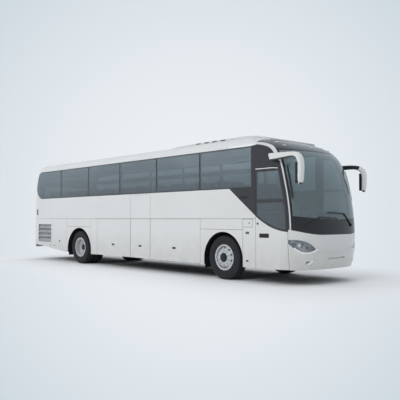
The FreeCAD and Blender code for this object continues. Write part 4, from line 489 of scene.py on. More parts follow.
class COACH_OT_stage(bpy.types.Operator):
    """Makes the pale floor, the soft lights and the camera"""
    bl_idname = "coach.stage"
    bl_label = "Stage"

    def execute(self, context):
        sizes = context.scene.coach_sizes
        pitch = math.radians(1.88)
        self.stand = (13.018, -10.667, sizes.camera_height)
        self.ahead = (Vector((-0.735, 0.678, 0.0)).normalized() * math.cos(pitch)
                      + Vector((0, 0, math.sin(pitch))))
        deselect()
        bpy.ops.mesh.primitive_circle_add(vertices=64, radius=120.0, fill_type="NGON",
                                          location=(0, 0, GROUND))
        floor = context.object
        floor.name = "studio_floor"
        floor.data.materials.append(self.floor_material(tuple(context.scene.coach_colours.floor)))
        for name, place, aim, power, size in (
                ("key", (6.0, -15.0, 11.0), (0.0, 0.0, 1.4), 800.0, 9.0),
                ("side", (-9.0, -13.0, 8.0), (-2.0, 0.0, 1.2), 470.0, 9.0),
                ("front", (17.0, 3.0, 7.0), (4.0, 0.0, 1.4), 50.0, 6.0),
                ("back", (-6.0, 14.0, 10.0), (0.0, 0.0, 2.0), 420.0, 9.0)):
            self.light(name, place, aim, power, size)
        self.world(context)
        data = bpy.data.cameras.new("photo_camera")
        data.sensor_width = 36.0
        data.lens = sizes.lens * 1000
        data.clip_end = 500.0
        camera = bpy.data.objects.new("photo_camera", data)
        context.scene.collection.objects.link(camera)
        camera.location = self.stand
        camera.rotation_euler = self.ahead.to_track_quat("-Z", "Y").to_euler()
        context.scene.camera = camera
        context.scene.view_settings.view_transform = "Standard"
        return {"FINISHED"}

    def backdrop(self, target, sight):
        """The backdrop's pale blue-grey along a line of sight: brightest in the picture's middle."""
        unit = add(target, "ShaderNodeVectorMath", {"operation": "NORMALIZE"}, {0: sight})
        middle = add(target, "ShaderNodeVectorMath", {"operation": "DOT_PRODUCT", 1: self.ahead}, {0: unit})
        share = add(target, "ShaderNodeMapRange", {"From Min": 1.0, "From Max": 0.894},
                    {"Value": middle.outputs["Value"]})
        return add(target, "ShaderNodeMix", {"data_type": "RGBA", 6: colour("ecf0f3"), 7: colour("cfd9e1")},
                   {0: share}).outputs[2]

    def direct_sight(self, target):
        """One for what the camera, a reflection or a pane shows, and nought for light cast on things."""
        rays = add(target, "ShaderNodeLightPath")
        return either(target, *(rays.outputs[kind] for kind in (
            "Is Camera Ray", "Is Transmission Ray", "Is Glossy Ray")))

    def floor_material(self, base):
        """A pale seamless studio sweep: matt paper, which far off runs into the backdrop's own colour."""
        material = bpy.data.materials.new("seamless_paper")
        material.use_nodes = True
        material.node_tree.nodes.clear()
        place = add(material, "ShaderNodeTexCoord").outputs["Object"]
        noise = add(material, "ShaderNodeTexNoise", {"Scale": 0.3, "Detail": 4.0}, {"Vector": place})
        tone = add(material, "ShaderNodeMix", {"data_type": "RGBA", 6: base, 7: darker(base, 0.97)},
                   {0: noise.outputs["Fac"]})
        matt = add(material, "ShaderNodeBsdfDiffuse", links={"Color": tone.outputs[2]})
        # how far a point lies outside the coach's own outline on the ground
        away = add(material, "ShaderNodeVectorMath", {"operation": "ABSOLUTE"}, {0: place})
        away = add(material, "ShaderNodeVectorMath", {"operation": "SUBTRACT", 1: (6.0, 1.25, 0.0)},
                   {0: away})
        away = add(material, "ShaderNodeVectorMath", {"operation": "MAXIMUM", 1: (0.0, 0.0, 0.0)}, {0: away})
        away = add(material, "ShaderNodeVectorMath", {"operation": "LENGTH"}, {0: away})
        blend = add(material, "ShaderNodeMapRange",
                    {"interpolation_type": "SMOOTHSTEP", "From Min": 0.1, "From Max": 3.4},
                    {"Value": away.outputs["Value"]})
        blend = add(material, "ShaderNodeMath", {"operation": "MULTIPLY"},
                    {0: blend, 1: self.direct_sight(material)})
        sight = add(material, "ShaderNodeVectorMath", {"operation": "SUBTRACT", 1: self.stand}, {0: place})
        far = add(material, "ShaderNodeEmission", {"Strength": 1.0},
                  {"Color": self.backdrop(material, sight.outputs[0])})
        both = add(material, "ShaderNodeMixShader", links={0: blend, 1: matt, 2: far})
        add(material, "ShaderNodeOutputMaterial", links={"Surface": both})
        return material

    def light(self, name, place, aim, power, size):
        data = bpy.data.lights.new(name, "AREA")
        data.energy = power
        data.shape = "DISK"
        data.size = size
        lamp = bpy.data.objects.new(name, data)
        lamp.visible_glossy = False
        bpy.context.scene.collection.objects.link(lamp)
        lamp.location = place
        lamp.rotation_euler = (Vector(aim) - Vector(place)).to_track_quat("-Z", "Y").to_euler()

    def world(self, context):
        """A pale blue-grey backdrop for the camera and reflections, and plain white fill light."""
        world = bpy.data.worlds.new("studio")
        context.scene.world = world
        world.use_nodes = True
        world.node_tree.nodes.clear()
        place = add(world, "ShaderNodeTexCoord").outputs["Generated"]
        sky = self.backdrop(world, place)
        split = add(world, "ShaderNodeSeparateXYZ", links={0: place})
        above = add(world, "ShaderNodeMapRange", {"From Max": 0.5, "To Min": 0.08, "To Max": 0.80},
                    {"Value": split.outputs["Z"]})
        shown = add(world, "ShaderNodeBackground", {"Strength": 1.0}, {"Color": sky})
        fill = add(world, "ShaderNodeBackground", {"Color": colour("eef2f6")}, {"Strength": above})
        both = add(world, "ShaderNodeMixShader", links={0: self.direct_sight(world), 1: fill, 2: shown})
        add(world, "ShaderNodeOutputWorld", links={"Surface": both})


# Modelling helpers

def deselect():
    if bpy.context.object and bpy.context.object.mode != "OBJECT":
        bpy.ops.object.mode_set(mode="OBJECT")
    bpy.ops.object.select_all(action="DESELECT")


def picked(piece):
    """Makes a piece the active one and the only one selected."""
    deselect()
    piece.select_set(True)
    bpy.context.view_layer.objects.active = piece


def block(name, middle, extent):
    """A cube primitive at its size and place, to be shaped further."""
    deselect()
    bpy.ops.mesh.primitive_cube_add(size=1.0, location=middle)
    piece = bpy.context.object
    piece.name = name
    piece.scale = extent
    bpy.ops.object.transform_apply(location=True, rotation=True, scale=True)
    return piece


def drum(name, middle, radius, depth, along="Z", sides=32):
    """A cylinder primitive whose axis runs along one of the coach's axes."""
    turns = {"X": (0.0, math.pi / 2, 0.0), "Y": (-math.pi / 2, 0.0, 0.0), "Z": (0.0, 0.0, 0.0)}
    deselect()
    bpy.ops.mesh.primitive_cylinder_add(vertices=sides, radius=radius, depth=depth, location=middle,
                                        rotation=turns[along])
    piece = bpy.context.object
    piece.name = name
    bpy.ops.object.transform_apply(location=True, rotation=True, scale=True)
    return piece


def trail(name, points):
    """A run of vertices, drawn by merging a plane to one point and extruding that from point to point."""
    deselect()
    bpy.ops.mesh.primitive_plane_add(size=0.01, location=points[0])
    piece = bpy.context.object
    piece.name = name
    bpy.ops.object.transform_apply(location=True, rotation=True, scale=True)
    bpy.ops.object.mode_set(mode="EDIT")
    bpy.ops.mesh.select_mode(type="VERT")
    bpy.ops.mesh.select_all(action="SELECT")
    bpy.ops.mesh.merge(type="CENTER")
    for start, end in zip(points, points[1:]):
        step = Vector(end) - Vector(start)
        bpy.ops.mesh.extrude_vertices_move(TRANSFORM_OT_translate={"value": step})
    return piece


def slab(name, outline, through):
    """An outline filled with a face and extruded along a vector."""
    piece = trail(name, outline)
    bpy.ops.mesh.select_all(action="SELECT")
    bpy.ops.mesh.edge_face_add()
    bpy.ops.mesh.extrude_region_move(TRANSFORM_OT_translate={"value": Vector(through)})
    tidy_normals()
    return piece


def spun(name, profile, steps, closed=False):
    """A section of (along, radius) pairs spun round the Y axis."""
    points = [(0.0, along, radius) for along, radius in profile]
    piece = trail(name, points + points[:1] if closed else points)
    bpy.ops.mesh.select_all(action="SELECT")
    bpy.ops.mesh.spin(steps=steps, angle=math.tau, center=(0.0, 0.0, 0.0), axis=(0.0, 1.0, 0.0))
    tidy_normals()
    return piece


def tidy_normals():
    """Merges doubles and points every face outwards, then returns to object mode."""
    bpy.ops.mesh.select_all(action="SELECT")
    bpy.ops.mesh.remove_doubles(threshold=0.00005)
    bpy.ops.mesh.normals_make_consistent(inside=False)
    bpy.ops.object.mode_set(mode="OBJECT")


def choose(piece, test, kind="FACE"):
    """Enters edit mode with the faces or vertices selected that pass a test of place and normal."""
    picked(piece)
    bpy.ops.object.mode_set(mode="EDIT")
    bpy.ops.mesh.select_mode(type=kind)
    bpy.ops.mesh.select_all(action="DESELECT")
    shape = bmesh.from_edit_mesh(piece.data)
    if kind == "FACE":
        for face in shape.faces:
            face.select_set(test(face.calc_center_median(), face.normal))
    else:
        for vertex in shape.verts:
            vertex.select_set(test(vertex.co, vertex.normal))
    bmesh.update_edit_mesh(piece.data)


def facing(axis, way=1):
    """A test that faces pass which look along an axis, one way or the other."""
    return lambda place, normal: getattr(normal, axis) * way > 0.9


def inset_and_push(piece, test, inset, push):
    """Insets the chosen faces and pushes the inner ones along their normals."""
    choose(piece, test)
    bpy.ops.mesh.inset(thickness=inset, depth=push)
    bpy.ops.object.mode_set(mode="OBJECT")


def modified(piece, kind, **settings):
    """Adds a modifier with its settings and applies it."""
    picked(piece)
    modifier = piece.modifiers.new(kind.lower(), kind)
    for key, value in settings.items():
        setattr(modifier, key, value)
    bpy.ops.object.modifier_apply(modifier=modifier.name)
    return piece


def settle(piece, body, finish_name, bevel=0.0, sharp=35.0, stands_for=()):
    """Rounds, shades and dresses a finished piece, and makes it ride on its body."""
    picked(piece)
    bpy.ops.object.transform_apply(location=True, rotation=True, scale=True)
    if bevel:
        modified(piece, "BEVEL", width=bevel, segments=2, limit_method="ANGLE", angle_limit=math.radians(40))
    bpy.ops.object.shade_smooth_by_angle(angle=math.radians(sharp))
    piece.data.materials.clear()
    piece.data.materials.append(MATERIALS[finish_name])
    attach(piece, body)
    if stands_for:
        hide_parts(*stands_for)
    return piece


def joined(pieces, name):
    """Joins pieces of one finish into the first of them."""
    deselect()
    for piece in pieces:
        piece.select_set(True)
    bpy.context.view_layer.objects.active = pieces[0]
    if len(pieces) > 1:
        bpy.ops.object.join()
    pieces[0].name = name
    return pieces[0]


def carried(piece, matrix, name=None):
    """The piece's mesh carried to a place; with a name, a copy of it with its own mesh."""
    if name:
        piece = piece.copy()
        piece.data = piece.data.copy()
        piece.name = name
        bpy.context.scene.collection.objects.link(piece)
    piece.data.transform(matrix)
    if matrix.determinant() < 0:
        piece.data.flip_normals()
    return piece


def tube(name, points, radius, smooth=True):
    """A round bar along a smooth line through points."""
    data = bpy.data.curves.new(name, "CURVE")
    data.dimensions = "3D"
    data.bevel_depth = radius
    data.bevel_resolution = 3
    data.use_fill_caps = True
    line = data.splines.new("NURBS" if smooth else "POLY")
    line.points.add(len(points) - 1)
    for place, point in zip(line.points, points):
        place.co = (*point, 1.0)
    if smooth:
        line.order_u = 3
        line.use_endpoint_u = True
    piece = bpy.data.objects.new(name, data)
    bpy.context.scene.collection.objects.link(piece)
    picked(piece)
    bpy.ops.object.convert(target="MESH")
    piece = bpy.context.object
    piece.name = name
    return piece


def nearest(node, point):
    """The point of a CAD node's surface that is nearest to a point, and the normal there."""
    return NODES[node].closest_point_on_mesh(Vector(point))[1:3]


def seat_on(node, point):
    """A frame on a CAD node's surface near a point: X along it, Y up it, Z out of it."""
    place, normal = nearest(node, point)
    across = Vector((0, 0, 1)).cross(normal)
    if across.length < 0.1:
        across = Vector((0, 1, 0))
    across.normalize()
    up = normal.cross(across).normalized()
    matrix = Matrix((across, up, normal)).transposed().to_4x4()
    matrix.translation = place
    return matrix


def pod(name, node, point, extent, body, finish_name, slot, bevel, sunk=0.3, lip=0.0, push=0.0):
    """A small rounded fitting seated on a surface, with its face inset where it has a lip."""
    piece = block(name, (0.0, 0.0, extent[2] * (0.5 - sunk)), extent)
    if lip:
        inset_and_push(piece, facing("z"), lip, push)
    carried(piece, seat_on(node, point))
    return settle(piece, body, finish_name, bevel)


# Tyres and wheel fittings

FRONT_AXLE = 3.6
REAR_AXLE = -2.9
HALF_TRACK = 1.075
WHEEL_HEIGHT = 0.52
TWIN_SPACING = 0.33
NUTS = 10
NUT_CIRCLE = 0.1675
FLAP_EDGE = 1.19
SIDES = ((-1, "right"), (1, "left"))
MIRRORED = Matrix.Diagonal((1.0, -1.0, 1.0, 1.0))
TREAD_SEGMENTS = 96
# Half of the tyre's section from bead to shoulder, then each groove's middle and the tread's height there
TYRE_SIDE = ((0.112, 0.288), (0.121, 0.300), (0.129, 0.318), (0.139, 0.350), (0.1445, 0.392),
             (0.1475, 0.396), (0.1478, 0.408), (0.1455, 0.415), (0.143, 0.445), (0.1375, 0.478),
             (0.131, 0.497), (0.1225, 0.508), (0.108, 0.5165))
TREAD_GROOVES = ((0.0625, 0.5187), (0.0195, 0.5198))
FRONT_DISC_FACE = 0.132
REAR_DISC_FACE = -0.144


def wheel_place(axle, side, inward=0.0):
    """Where a wheel's own middle stands; the right side is the left one mirrored."""
    return (Matrix.Translation((axle, side * (HALF_TRACK - inward), WHEEL_HEIGHT))
            @ Matrix.Diagonal((1.0, side, 1.0, 1.0)))


def ringed(piece, name, count, radius, along):
    """Copies of a piece spread evenly round the wheel's axis and joined."""
    copies = []
    for number in range(count):
        turn = Matrix.Rotation(math.tau * number / count, 4, "Y")
        copies.append(carried(piece, Matrix.Translation((0.0, along, 0.0)) @ turn
                              @ Matrix.Translation((0.0, 0.0, radius)), name))
    bpy.data.objects.remove(piece)
    return joined(copies, name)


def wheel_nut(radius, height, stud):
    """A hexagon nut with the end of its stud."""
    nut = drum("wheel_nut", (0.0, height / 2, 0.0), radius, height, "Y", 6)
    inset_and_push(nut, facing("y"), radius * 0.3, 0.0)
    inset_and_push(nut, lambda place, normal: normal.y > 0.9 and place.xz.length < radius * 0.2, 0.001, stud)
    return nut


class COACH_OT_tyres(bpy.types.Operator):
    """Makes the six tyres, with grooves round the tread and notched shoulders"""
    bl_idname = "coach.tyres"
    bl_label = "Tyres"

    def execute(self, context):
        sizes = context.scene.coach_sizes
        section = list(TYRE_SIDE)
        for middle, height in TREAD_GROOVES:
            reach = sizes.groove_width / 2
            section += [(middle + reach, height),
                        (middle + reach * 0.75, height - sizes.groove_depth),
                        (middle - reach * 0.75, height - sizes.groove_depth),
                        (middle - reach, height + 0.0003)]
        section += [(-across, up) for across, up in reversed(section)]
        tyre = spun("tyre", section, TREAD_SEGMENTS, closed=True)
        step = math.tau / TREAD_SEGMENTS

        def in_shoulder(place, normal):
            number = int(math.atan2(place.x, place.z) // step)
            return number % 2 == 0 and 0.085 < abs(place.y) < 0.13 and place.xz.length > 0.5

        inset_and_push(tyre, in_shoulder, 0.002, -0.006)
        for side, word in SIDES:
            front = carried(tyre, wheel_place(FRONT_AXLE, side), "treaded_tyre_front_" + word)
            settle(front, "wheel_front_" + word, "rubber", stands_for=["tyre_front_" + word])
            twins = [carried(tyre, wheel_place(REAR_AXLE, side, inward), "treaded_tyre")
                     for inward in (0.0, TWIN_SPACING)]
            settle(joined(twins, "treaded_tyres_rear_" + word), "wheels_rear_" + word, "rubber",
                   stands_for=["tyres_rear_" + word])
        bpy.data.objects.remove(tyre)
        return {"FINISHED"}


class COACH_OT_wheel_fittings(bpy.types.Operator):
    """Makes the wheel nuts, hub caps, hub bolts and disc rings, and the mud flaps"""
    bl_idname = "coach.wheel_fittings"
    bl_label = "Wheel fittings"

    def execute(self, context):
        front_nuts, rear_nuts = (
            ringed(wheel_nut(0.0185, 0.030, 0.014), name, NUTS, NUT_CIRCLE, face)
            for name, face in (("front_nuts", FRONT_DISC_FACE), ("rear_nuts", REAR_DISC_FACE)))
        cap = spun("front_cap_pattern", [(0.1462, 0.0), (0.1462, 0.110), (0.153, 0.110), (0.157, 0.092),
                                         (0.178, 0.086), (0.187, 0.070), (0.192, 0.040), (0.193, 0.0)], 48)
        inset_and_push(cap, lambda place, normal: 0.158 < place.y < 0.176 and int(
            math.degrees(math.atan2(place.x, place.z)) // 7.5) % 6 == 0, 0.001, -0.003)
        bolts = ringed(wheel_nut(0.011, 0.013, 0.004), "rear_hub_bolts", 8, 0.104, 0.0)
        dome = spun("rear_cap_pattern", [(0.0005, 0.0), (0.0005, 0.088), (0.006, 0.089), (0.030, 0.084),
                                         (0.041, 0.060), (0.045, 0.025), (0.0455, 0.0)], 48)
        lip = spun("disc_ring_pattern", [(0.1322, 0.196), (0.1352, 0.199), (0.1352, 0.204), (0.1322, 0.207)],
                   64, closed=True)
        for side, word in SIDES:
            for pattern, axle, body, finish_name, slot in (
                    (front_nuts, FRONT_AXLE, "wheel_front_", "rim", "rim_metal"),
                    (cap, FRONT_AXLE, "wheel_front_", "hub", "black_plastic"),
                    (lip, FRONT_AXLE, "wheel_front_", "rim", "rim_metal"),
                    (rear_nuts, REAR_AXLE, "wheels_rear_", "rim", "rim_metal"),
                    (bolts, REAR_AXLE, "wheels_rear_", "hub", "black_plastic"),
                    (dome, REAR_AXLE, "wheels_rear_", "hub", "black_plastic")):
                name = "%s_%s" % (pattern.name.replace("_pattern", ""), word)
                settle(carried(pattern, wheel_place(axle, side), name), body + word, finish_name, 0.001)
            for place, along, inner in (("front", 2.9275, 0.80), ("rear", -3.6425, 0.62)):
                flap = block("mud_flap_%s_%s" % (place, word), (along, side * (inner + FLAP_EDGE) / 2, 0.47),
                             (0.011, FLAP_EDGE - inner, 0.46))
                inset_and_push(flap, lambda point, normal: abs(normal.x) > 0.9, 0.018, -0.003)
                settle(flap, "coach_body", "flap_rubber", 0.002)
        for pattern in (front_nuts, cap, lip, rear_nuts, bolts, dome):
            bpy.data.objects.remove(pattern)
        return {"FINISHED"}


# Lamps, reflectors and the folds of the front

def on_surface(node, points, lift=0.0):
    """Points carried onto a CAD node's surface, a little above it."""
    placed = []
    for point in points:
        place, normal = nearest(node, point)
        placed.append(tuple(place + normal * lift))
    return placed


def both_sides(piece, name, body, finish_name, bevel=0.0):
    """Settles a piece of the right side and its mirror image on the left."""
    twin = carried(piece, MIRRORED, name + "_left")
    piece.name = name + "_right"
    return [settle(item, body, finish_name, bevel) for item in (piece, twin)]


def button(name, node, point, radius, depth, sides=24, rings=((0.25, 0.0), (0.3, -0.35)), sunk=0.3):
    """A round fitting seated on a surface; each ring gives an inset and a push as shares of its size."""
    piece = drum(name, (0.0, 0.0, depth * (0.5 - sunk)), radius, depth, "Z", sides)
    reach = radius
    for inset, push in rings:
        limit = reach * 1.01
        inset_and_push(piece, lambda place, normal: normal.z > 0.9 and place.xy.length < limit,
                       radius * inset, depth * push)
        reach -= radius * inset
    return carried(piece, seat_on(node, point))


class COACH_OT_lamps(bpy.types.Operator):
    """Makes the headlamps' bowls and projectors, the lips and fold round them and every small lamp"""
    bl_idname = "coach.lamps"
    bl_label = "Lamps"

    def execute(self, context):
        self.headlamps()
        for number, (along, across, up) in enumerate(((4.92, -0.84, 3.15), (5.12, -0.83, 3.06))):
            lamp = pod("cap_marker_%d" % number, "front_cap", (along, across, up), (0.075, 0.034, 0.02),
                       "coach_body", "lamp_white", "lamp_lens", 0.006, 0.35, 0.006, 0.002)
            lamp.name += "_right"
            twin = carried(lamp, MIRRORED, "cap_marker_%d_left" % number)
            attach(twin, "coach_body")
        pod("cap_marker_middle", "front_cap", (5.25, 0.0, 3.07), (0.09, 0.034, 0.02), "coach_body",
            "lamp_white", "lamp_lens", 0.006, 0.35, 0.006, 0.002)
        for side, word in SIDES:
            skirt = word + "_skirt"
            for name, along, up, extent, finish_name, slot in (
                    ("side_repeater", 4.387, 1.113, (0.095, 0.05, 0.018), "smoked_lamp", "lamp_lens"),
                    ("side_marker_front", 4.38, 0.482, (0.065, 0.034, 0.014), "ruby_lamp", "lamp_lens"),
                    ("side_marker_rear", -4.5, 0.53, (0.06, 0.03, 0.014), "smoked_lamp", "lamp_lens"),
                    ("side_reflector_rear", -4.8, 0.53, (0.06, 0.03, 0.012), "ruby_lamp", "red_lens")):
                pod("%s_%s" % (name, word), skirt, (along, side * 1.25, up), extent, "coach_body",
                    finish_name, slot, 0.005, 0.3, 0.005, 0.002)
            pod("tail_marker_" + word, word + "_side_wall", (-5.75, side * 1.26, 1.66), (0.06, 0.20, 0.02),
                "coach_body", "smoked_lamp", "red_lens", 0.008, 0.3, 0.008, 0.003)
            for up, finish_name, slot in ((0.90, "red_lamp", "red_lens"), (1.13, "amber_lamp", "lamp_lens"),
                                          (1.36, "lamp", "lamp_lens")):
                pod("tail_segment_%s_%d" % (word, up * 100), "tail_lamps", (TAIL, side * 1.04, up),
                    (0.09, 0.20, 0.016), "coach_body", finish_name, slot, 0.007, 0.25, 0.010, -0.004)
        return {"FINISHED"}

    def headlamps(self):
        """The metallised bowls behind the clear lenses, their projectors, the lips and the bumper's fold."""
        bowl = bpy.data.objects.new("lamp_bowls", NODES["front_lamps"].data.copy())
        bpy.context.scene.collection.objects.link(bowl)
        for side in (-1, 1):
            choose(bowl, lambda place, normal: place.y * side > 0, "VERT")
            bpy.ops.transform.translate(value=(-0.027, -side * 0.024, 0.0))
            bpy.ops.object.mode_set(mode="OBJECT")
        choose(bowl, lambda place, normal: True, "VERT")
        tidy_normals()
        settle(bowl, "coach_body", "reflector")
        projectors = ((5.67, -1.05, 0.87, 0.040), (5.77, -0.90, 0.82, 0.048))
        for number, (along, across, up, radius) in enumerate(projectors):
            ring = button("projector_ring_%d" % number, "front_lamps", (along, across, up), radius, 0.02, 32,
                          ((0.16, 0.0), (0.06, -0.7)), 1.2)
            both_sides(ring, "projector_ring_%d" % number, "coach_body", "chrome", 0.0008)
            eye = button("projector_lens_%d" % number, "front_lamps", (along, across, up), radius * 0.76,
                         0.018, 32, ((0.2, 0.2), (0.25, 0.15), (0.25, 0.06)), 1.3)
            both_sides(eye, "projector_lens_%d" % number, "coach_body", "dark_lens", 0.0)
        edge = [(5.875, -0.66, 0.765), (5.83, -0.80, 0.712), (5.75, -0.948, 0.698), (5.68, -1.06, 0.75),
                (5.62, -1.13, 0.84)]
        # the lips' whiter enamel, here and round the fog lamps, is partly a painted highlight
        lip = tube("headlamp_lip", on_surface("front_fascia", edge, 0.006), 0.020)
        both_sides(lip, "headlamp_lip", "coach_body", "gloss_white")
        fold = [(5.95, across, up - 0.014) for across, up in (
            (-0.66, 0.765), (-0.5, 0.748), (-0.28, 0.733), (0.0, 0.729),
            (0.28, 0.733), (0.5, 0.748), (0.66, 0.765))]
        settle(tube("bumper_fold", on_surface("front_fascia", fold, 0.0), 0.022), "coach_body", "enamel")
        fog = [(5.83, -0.915, 0.455), (5.84, -0.90, 0.44), (5.86, -0.83, 0.455), (5.87, -0.78, 0.52)]
        rim = tube("fog_lamp_lip", on_surface("front_fascia", fog, 0.004), 0.014)
        both_sides(rim, "fog_lamp_lip", "coach_body", "gloss_white")


# The passenger door's and the sides' fittings

class COACH_OT_door_trim(bpy.types.Operator):
    """Makes the door's handle, lock and grab rails, the drip rail over it and its motor's cover"""
    bl_idname = "coach.door_trim"
    bl_label = "Door trim"

    def execute(self, context):
        pod("door_handle_bowl", "passenger_door", (4.878, -1.27, 1.06), (0.275, 0.092, 0.012), "door_leaf",
            "trim", "black_plastic", 0.004, 0.55, 0.010, -0.005)
        pod("door_handle_bar", "passenger_door", (4.85, -1.27, 1.072), (0.17, 0.026, 0.014), "door_leaf",
            "dash", "black_plastic", 0.005, 0.0, 0.004, 0.001)
        lock = button("door_lock", "passenger_door", (4.693, -1.27, 1.322), 0.024, 0.010)
        settle(lock, "door_leaf", "trim", 0.0015)
        for along, low, high in ((4.76, 0.62, 1.32), (5.28, 0.62, 1.12)):
            points = [(along, -1.205, low), (along, -1.165, low + 0.03), (along, -1.155, (low + high) / 2),
                      (along, -1.165, high - 0.03), (along, -1.205, high)]
            settle(tube("door_grab_rail_%d" % (along * 100), points, 0.012), "door_leaf", "chrome")
        # the drip rail is a white part where the door's top shows a highlight; its whiter enamel is partly a
        # painted highlight
        rail = tube("door_drip_rail", on_surface("dark_side_panels", [
            (4.64 + 0.062 * number, -1.26, 2.536) for number in range(11)], 0.003), 0.009, smooth=False)
        settle(rail, "coach_body", "gloss_white")
        cover = block("door_motor_cover", (5.0, -0.98, 2.60), (0.62, 0.26, 0.12))
        inset_and_push(cover, facing("y"), 0.02, 0.012)
        settle(cover, "coach_body", "lining", 0.012)
        return {"FINISHED"}


class COACH_OT_side_trim(bpy.types.Operator):
    """Makes the sides' latches, locks, grips, cantrail strips and bright sills"""
    bl_idname = "coach.side_trim"
    bl_label = "Side trim"

    def execute(self, context):
        for side, word in SIDES:
            strip = block("cantrail_strip_" + word, (4.21, side * 1.2385, 3.093), (0.84, 0.017, 0.042))
            settle(strip, "coach_body", "gloss_white", 0.003)
            for place, along in (("front", 1.815), ("middle", 0.35), ("rear", -0.975)):
                flap = "luggage_flap_%s_%s" % (word, place)
                latch = block("flap_latch_%s_%s" % (word, place), (along, side * 1.241, 0.675),
                              (0.150, 0.014, 0.056))
                inset_and_push(latch, facing("y", side), 0.007, -0.006)
                inset_and_push(latch, lambda point,
                               normal: normal.y * side > 0.9 and abs(point.x - along) < 0.03,
                               0.004, 0.004)
                settle(latch, "flap_%s_%s" % (word, place), "trim", 0.002)
            if side < 0:
                pod("panel_grip_slot", "dark_side_panels", (4.25, -1.26, 1.915), (0.235, 0.050, 0.014),
                    "coach_body", "trim", "black_plastic", 0.005, 0.3, 0.009, -0.008)
            cap = button("tail_round_latch_" + word, word + "_skirt", (-4.15, side * 1.26, 0.678), 0.032,
                         0.014)
            settle(cap, "coach_body", "trim", 0.002)
            grip = slab("panel_grip_" + word, [(along, 1.2465 * side, up) for along, up in (
                (-0.02, 2.112), (0.10, 2.086), (0.35, 2.074), (0.60, 2.086), (0.72, 2.112))],
                        (0.0, 0.005 * side, 0.0))
            inset_and_push(grip, facing("y", side), 0.005, -0.003)
            settle(grip, "coach_body", "trim", 0.001)
            sill = slab("bright_sill_" + word, [(0.42, side * across, up) for across, up in (
                (1.222, 0.330), (1.238, 0.330), (1.238, 0.312), (1.230, 0.303), (1.222, 0.306))],
                        (2.36, 0.0, 0.0))
            settle(sill, "coach_body", "chrome", 0.002)
            flap = button("fuel_lock_" + word, word + "_skirt", (4.44, side * 1.26, 1.335), 0.016, 0.008)
            settle(flap, "coach_body", "trim", 0.001)
        return {"FINISHED"}


# Mirrors and wipers

class COACH_OT_mirrors(bpy.types.Operator):
    """Makes the mirrors' rims, glass and braces, and the wipers' pivots"""
    bl_idname = "coach.mirrors"
    bl_label = "Mirrors and wipers"

    def execute(self, context):
        for side, word, along, up, tall in ((-1, "right", 5.93, 2.375, 0.40), (1, "left", 5.70, 2.31, 0.38)):
            rim = block("mirror_rim_" + word, (along - 0.012, side * 1.388, up), (0.076, 0.112, tall + 0.03))
            inset_and_push(rim, facing("x", -1), 0.008, -0.008)
            settle(rim, "coach_body", "trim", 0.012)
            pane = block("mirror_glass_" + word, (along - 0.043, side * 1.388, up), (0.008, 0.090, tall))
            inset_and_push(pane, facing("x", -1), 0.005, 0.001)
            settle(pane, "coach_body", "mirror_glass", 0.002)
        rod = [(5.475, -1.150, 2.60), (5.50, -1.140, 2.40), (5.53, -1.130, 2.15), (5.565, -1.120, 1.86)]
        brace = tube("mirror_brace", on_surface("windshield", rod, 0.014), 0.017)
        both_sides(brace, "mirror_brace", "coach_body", "trim")
        for number, (along, across, up) in enumerate(((5.83, -0.953, 1.301), (5.93, 0.568, 1.291))):
            cap = button("wiper_pivot_%d" % number, "windshield", (along, across, up), 0.030, 0.034, 24,
                         ((0.2, 0.0), (0.3, 0.25)), 0.1)
            settle(cap, "coach_body", "trim", 0.003)
        return {"FINISHED"}


# The roof and the tail

FAN_SPACING = 0.52
GRILLE_SPACING = 0.3
LOUVRE_PITCH = 0.042
# A little behind the tail, to seat fittings on it
TAIL = -6.1


class COACH_OT_roof_trim(bpy.types.Operator):
    """Makes the cooling unit's fans, the grilles beside it and the hatch's cover"""
    bl_idname = "coach.roof_trim"
    bl_label = "Roof trim"

    def execute(self, context):
        for side, word in SIDES:
            for number in range(4):
                fan = drum("roof_fan", (0.0, 0.0, 0.004), 0.20, 0.024, "Z", 40)
                inset_and_push(fan, facing("z"), 0.014, 0.0)
                inset_and_push(fan, lambda place, normal: normal.z > 0.9 and place.xy.length < 0.1, 0.003,
                               -0.012)
                for ring in range(3):
                    limit = 0.19 - 0.05 * ring
                    inset_and_push(fan, lambda place,
                                   normal: normal.z > 0.9 and place.xy.length < limit * 0.6,
                                   0.022, 0.006 if ring % 2 == 0 else -0.006)
                carried(fan, seat_on("roof_unit", (3.1 - FAN_SPACING * number, side * 0.36, 3.6)))
                fan.name = "roof_fan_%d_%s" % (number, word)
                settle(fan, "coach_body", "louvre", 0.002)
            for number in range(4):
                middle = (3.205 - GRILLE_SPACING * number, side * 0.835, 3.361)
                grille = block("roof_grille_%d_%s" % (number, word), middle, (0.168, 0.022, 0.0245))
                inset_and_push(grille, facing("y", side), 0.003, -0.006)
                settle(grille, "coach_body", "trim", 0.001)
        low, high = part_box("roof_hatch")
        middle = ((low[0] + high[0]) / 2, 0.0, high[2] + 0.004)
        cover = block("hatch_cover", middle, (high[0] - low[0] - 0.03, high[1] - low[1] - 0.03, 0.014))

        def in_middle_of_top(place, normal):
            return normal.z > 0.9 and (place - Vector(middle)).xy.length < 0.01

        for inset, push in ((0.03, 0.0), (0.02, 0.008), (0.12, 0.0), (0.01, -0.006)):
            inset_and_push(cover, in_middle_of_top, inset, push)
        settle(cover, "roof_hatch", "unit", 0.004)
        return {"FINISHED"}


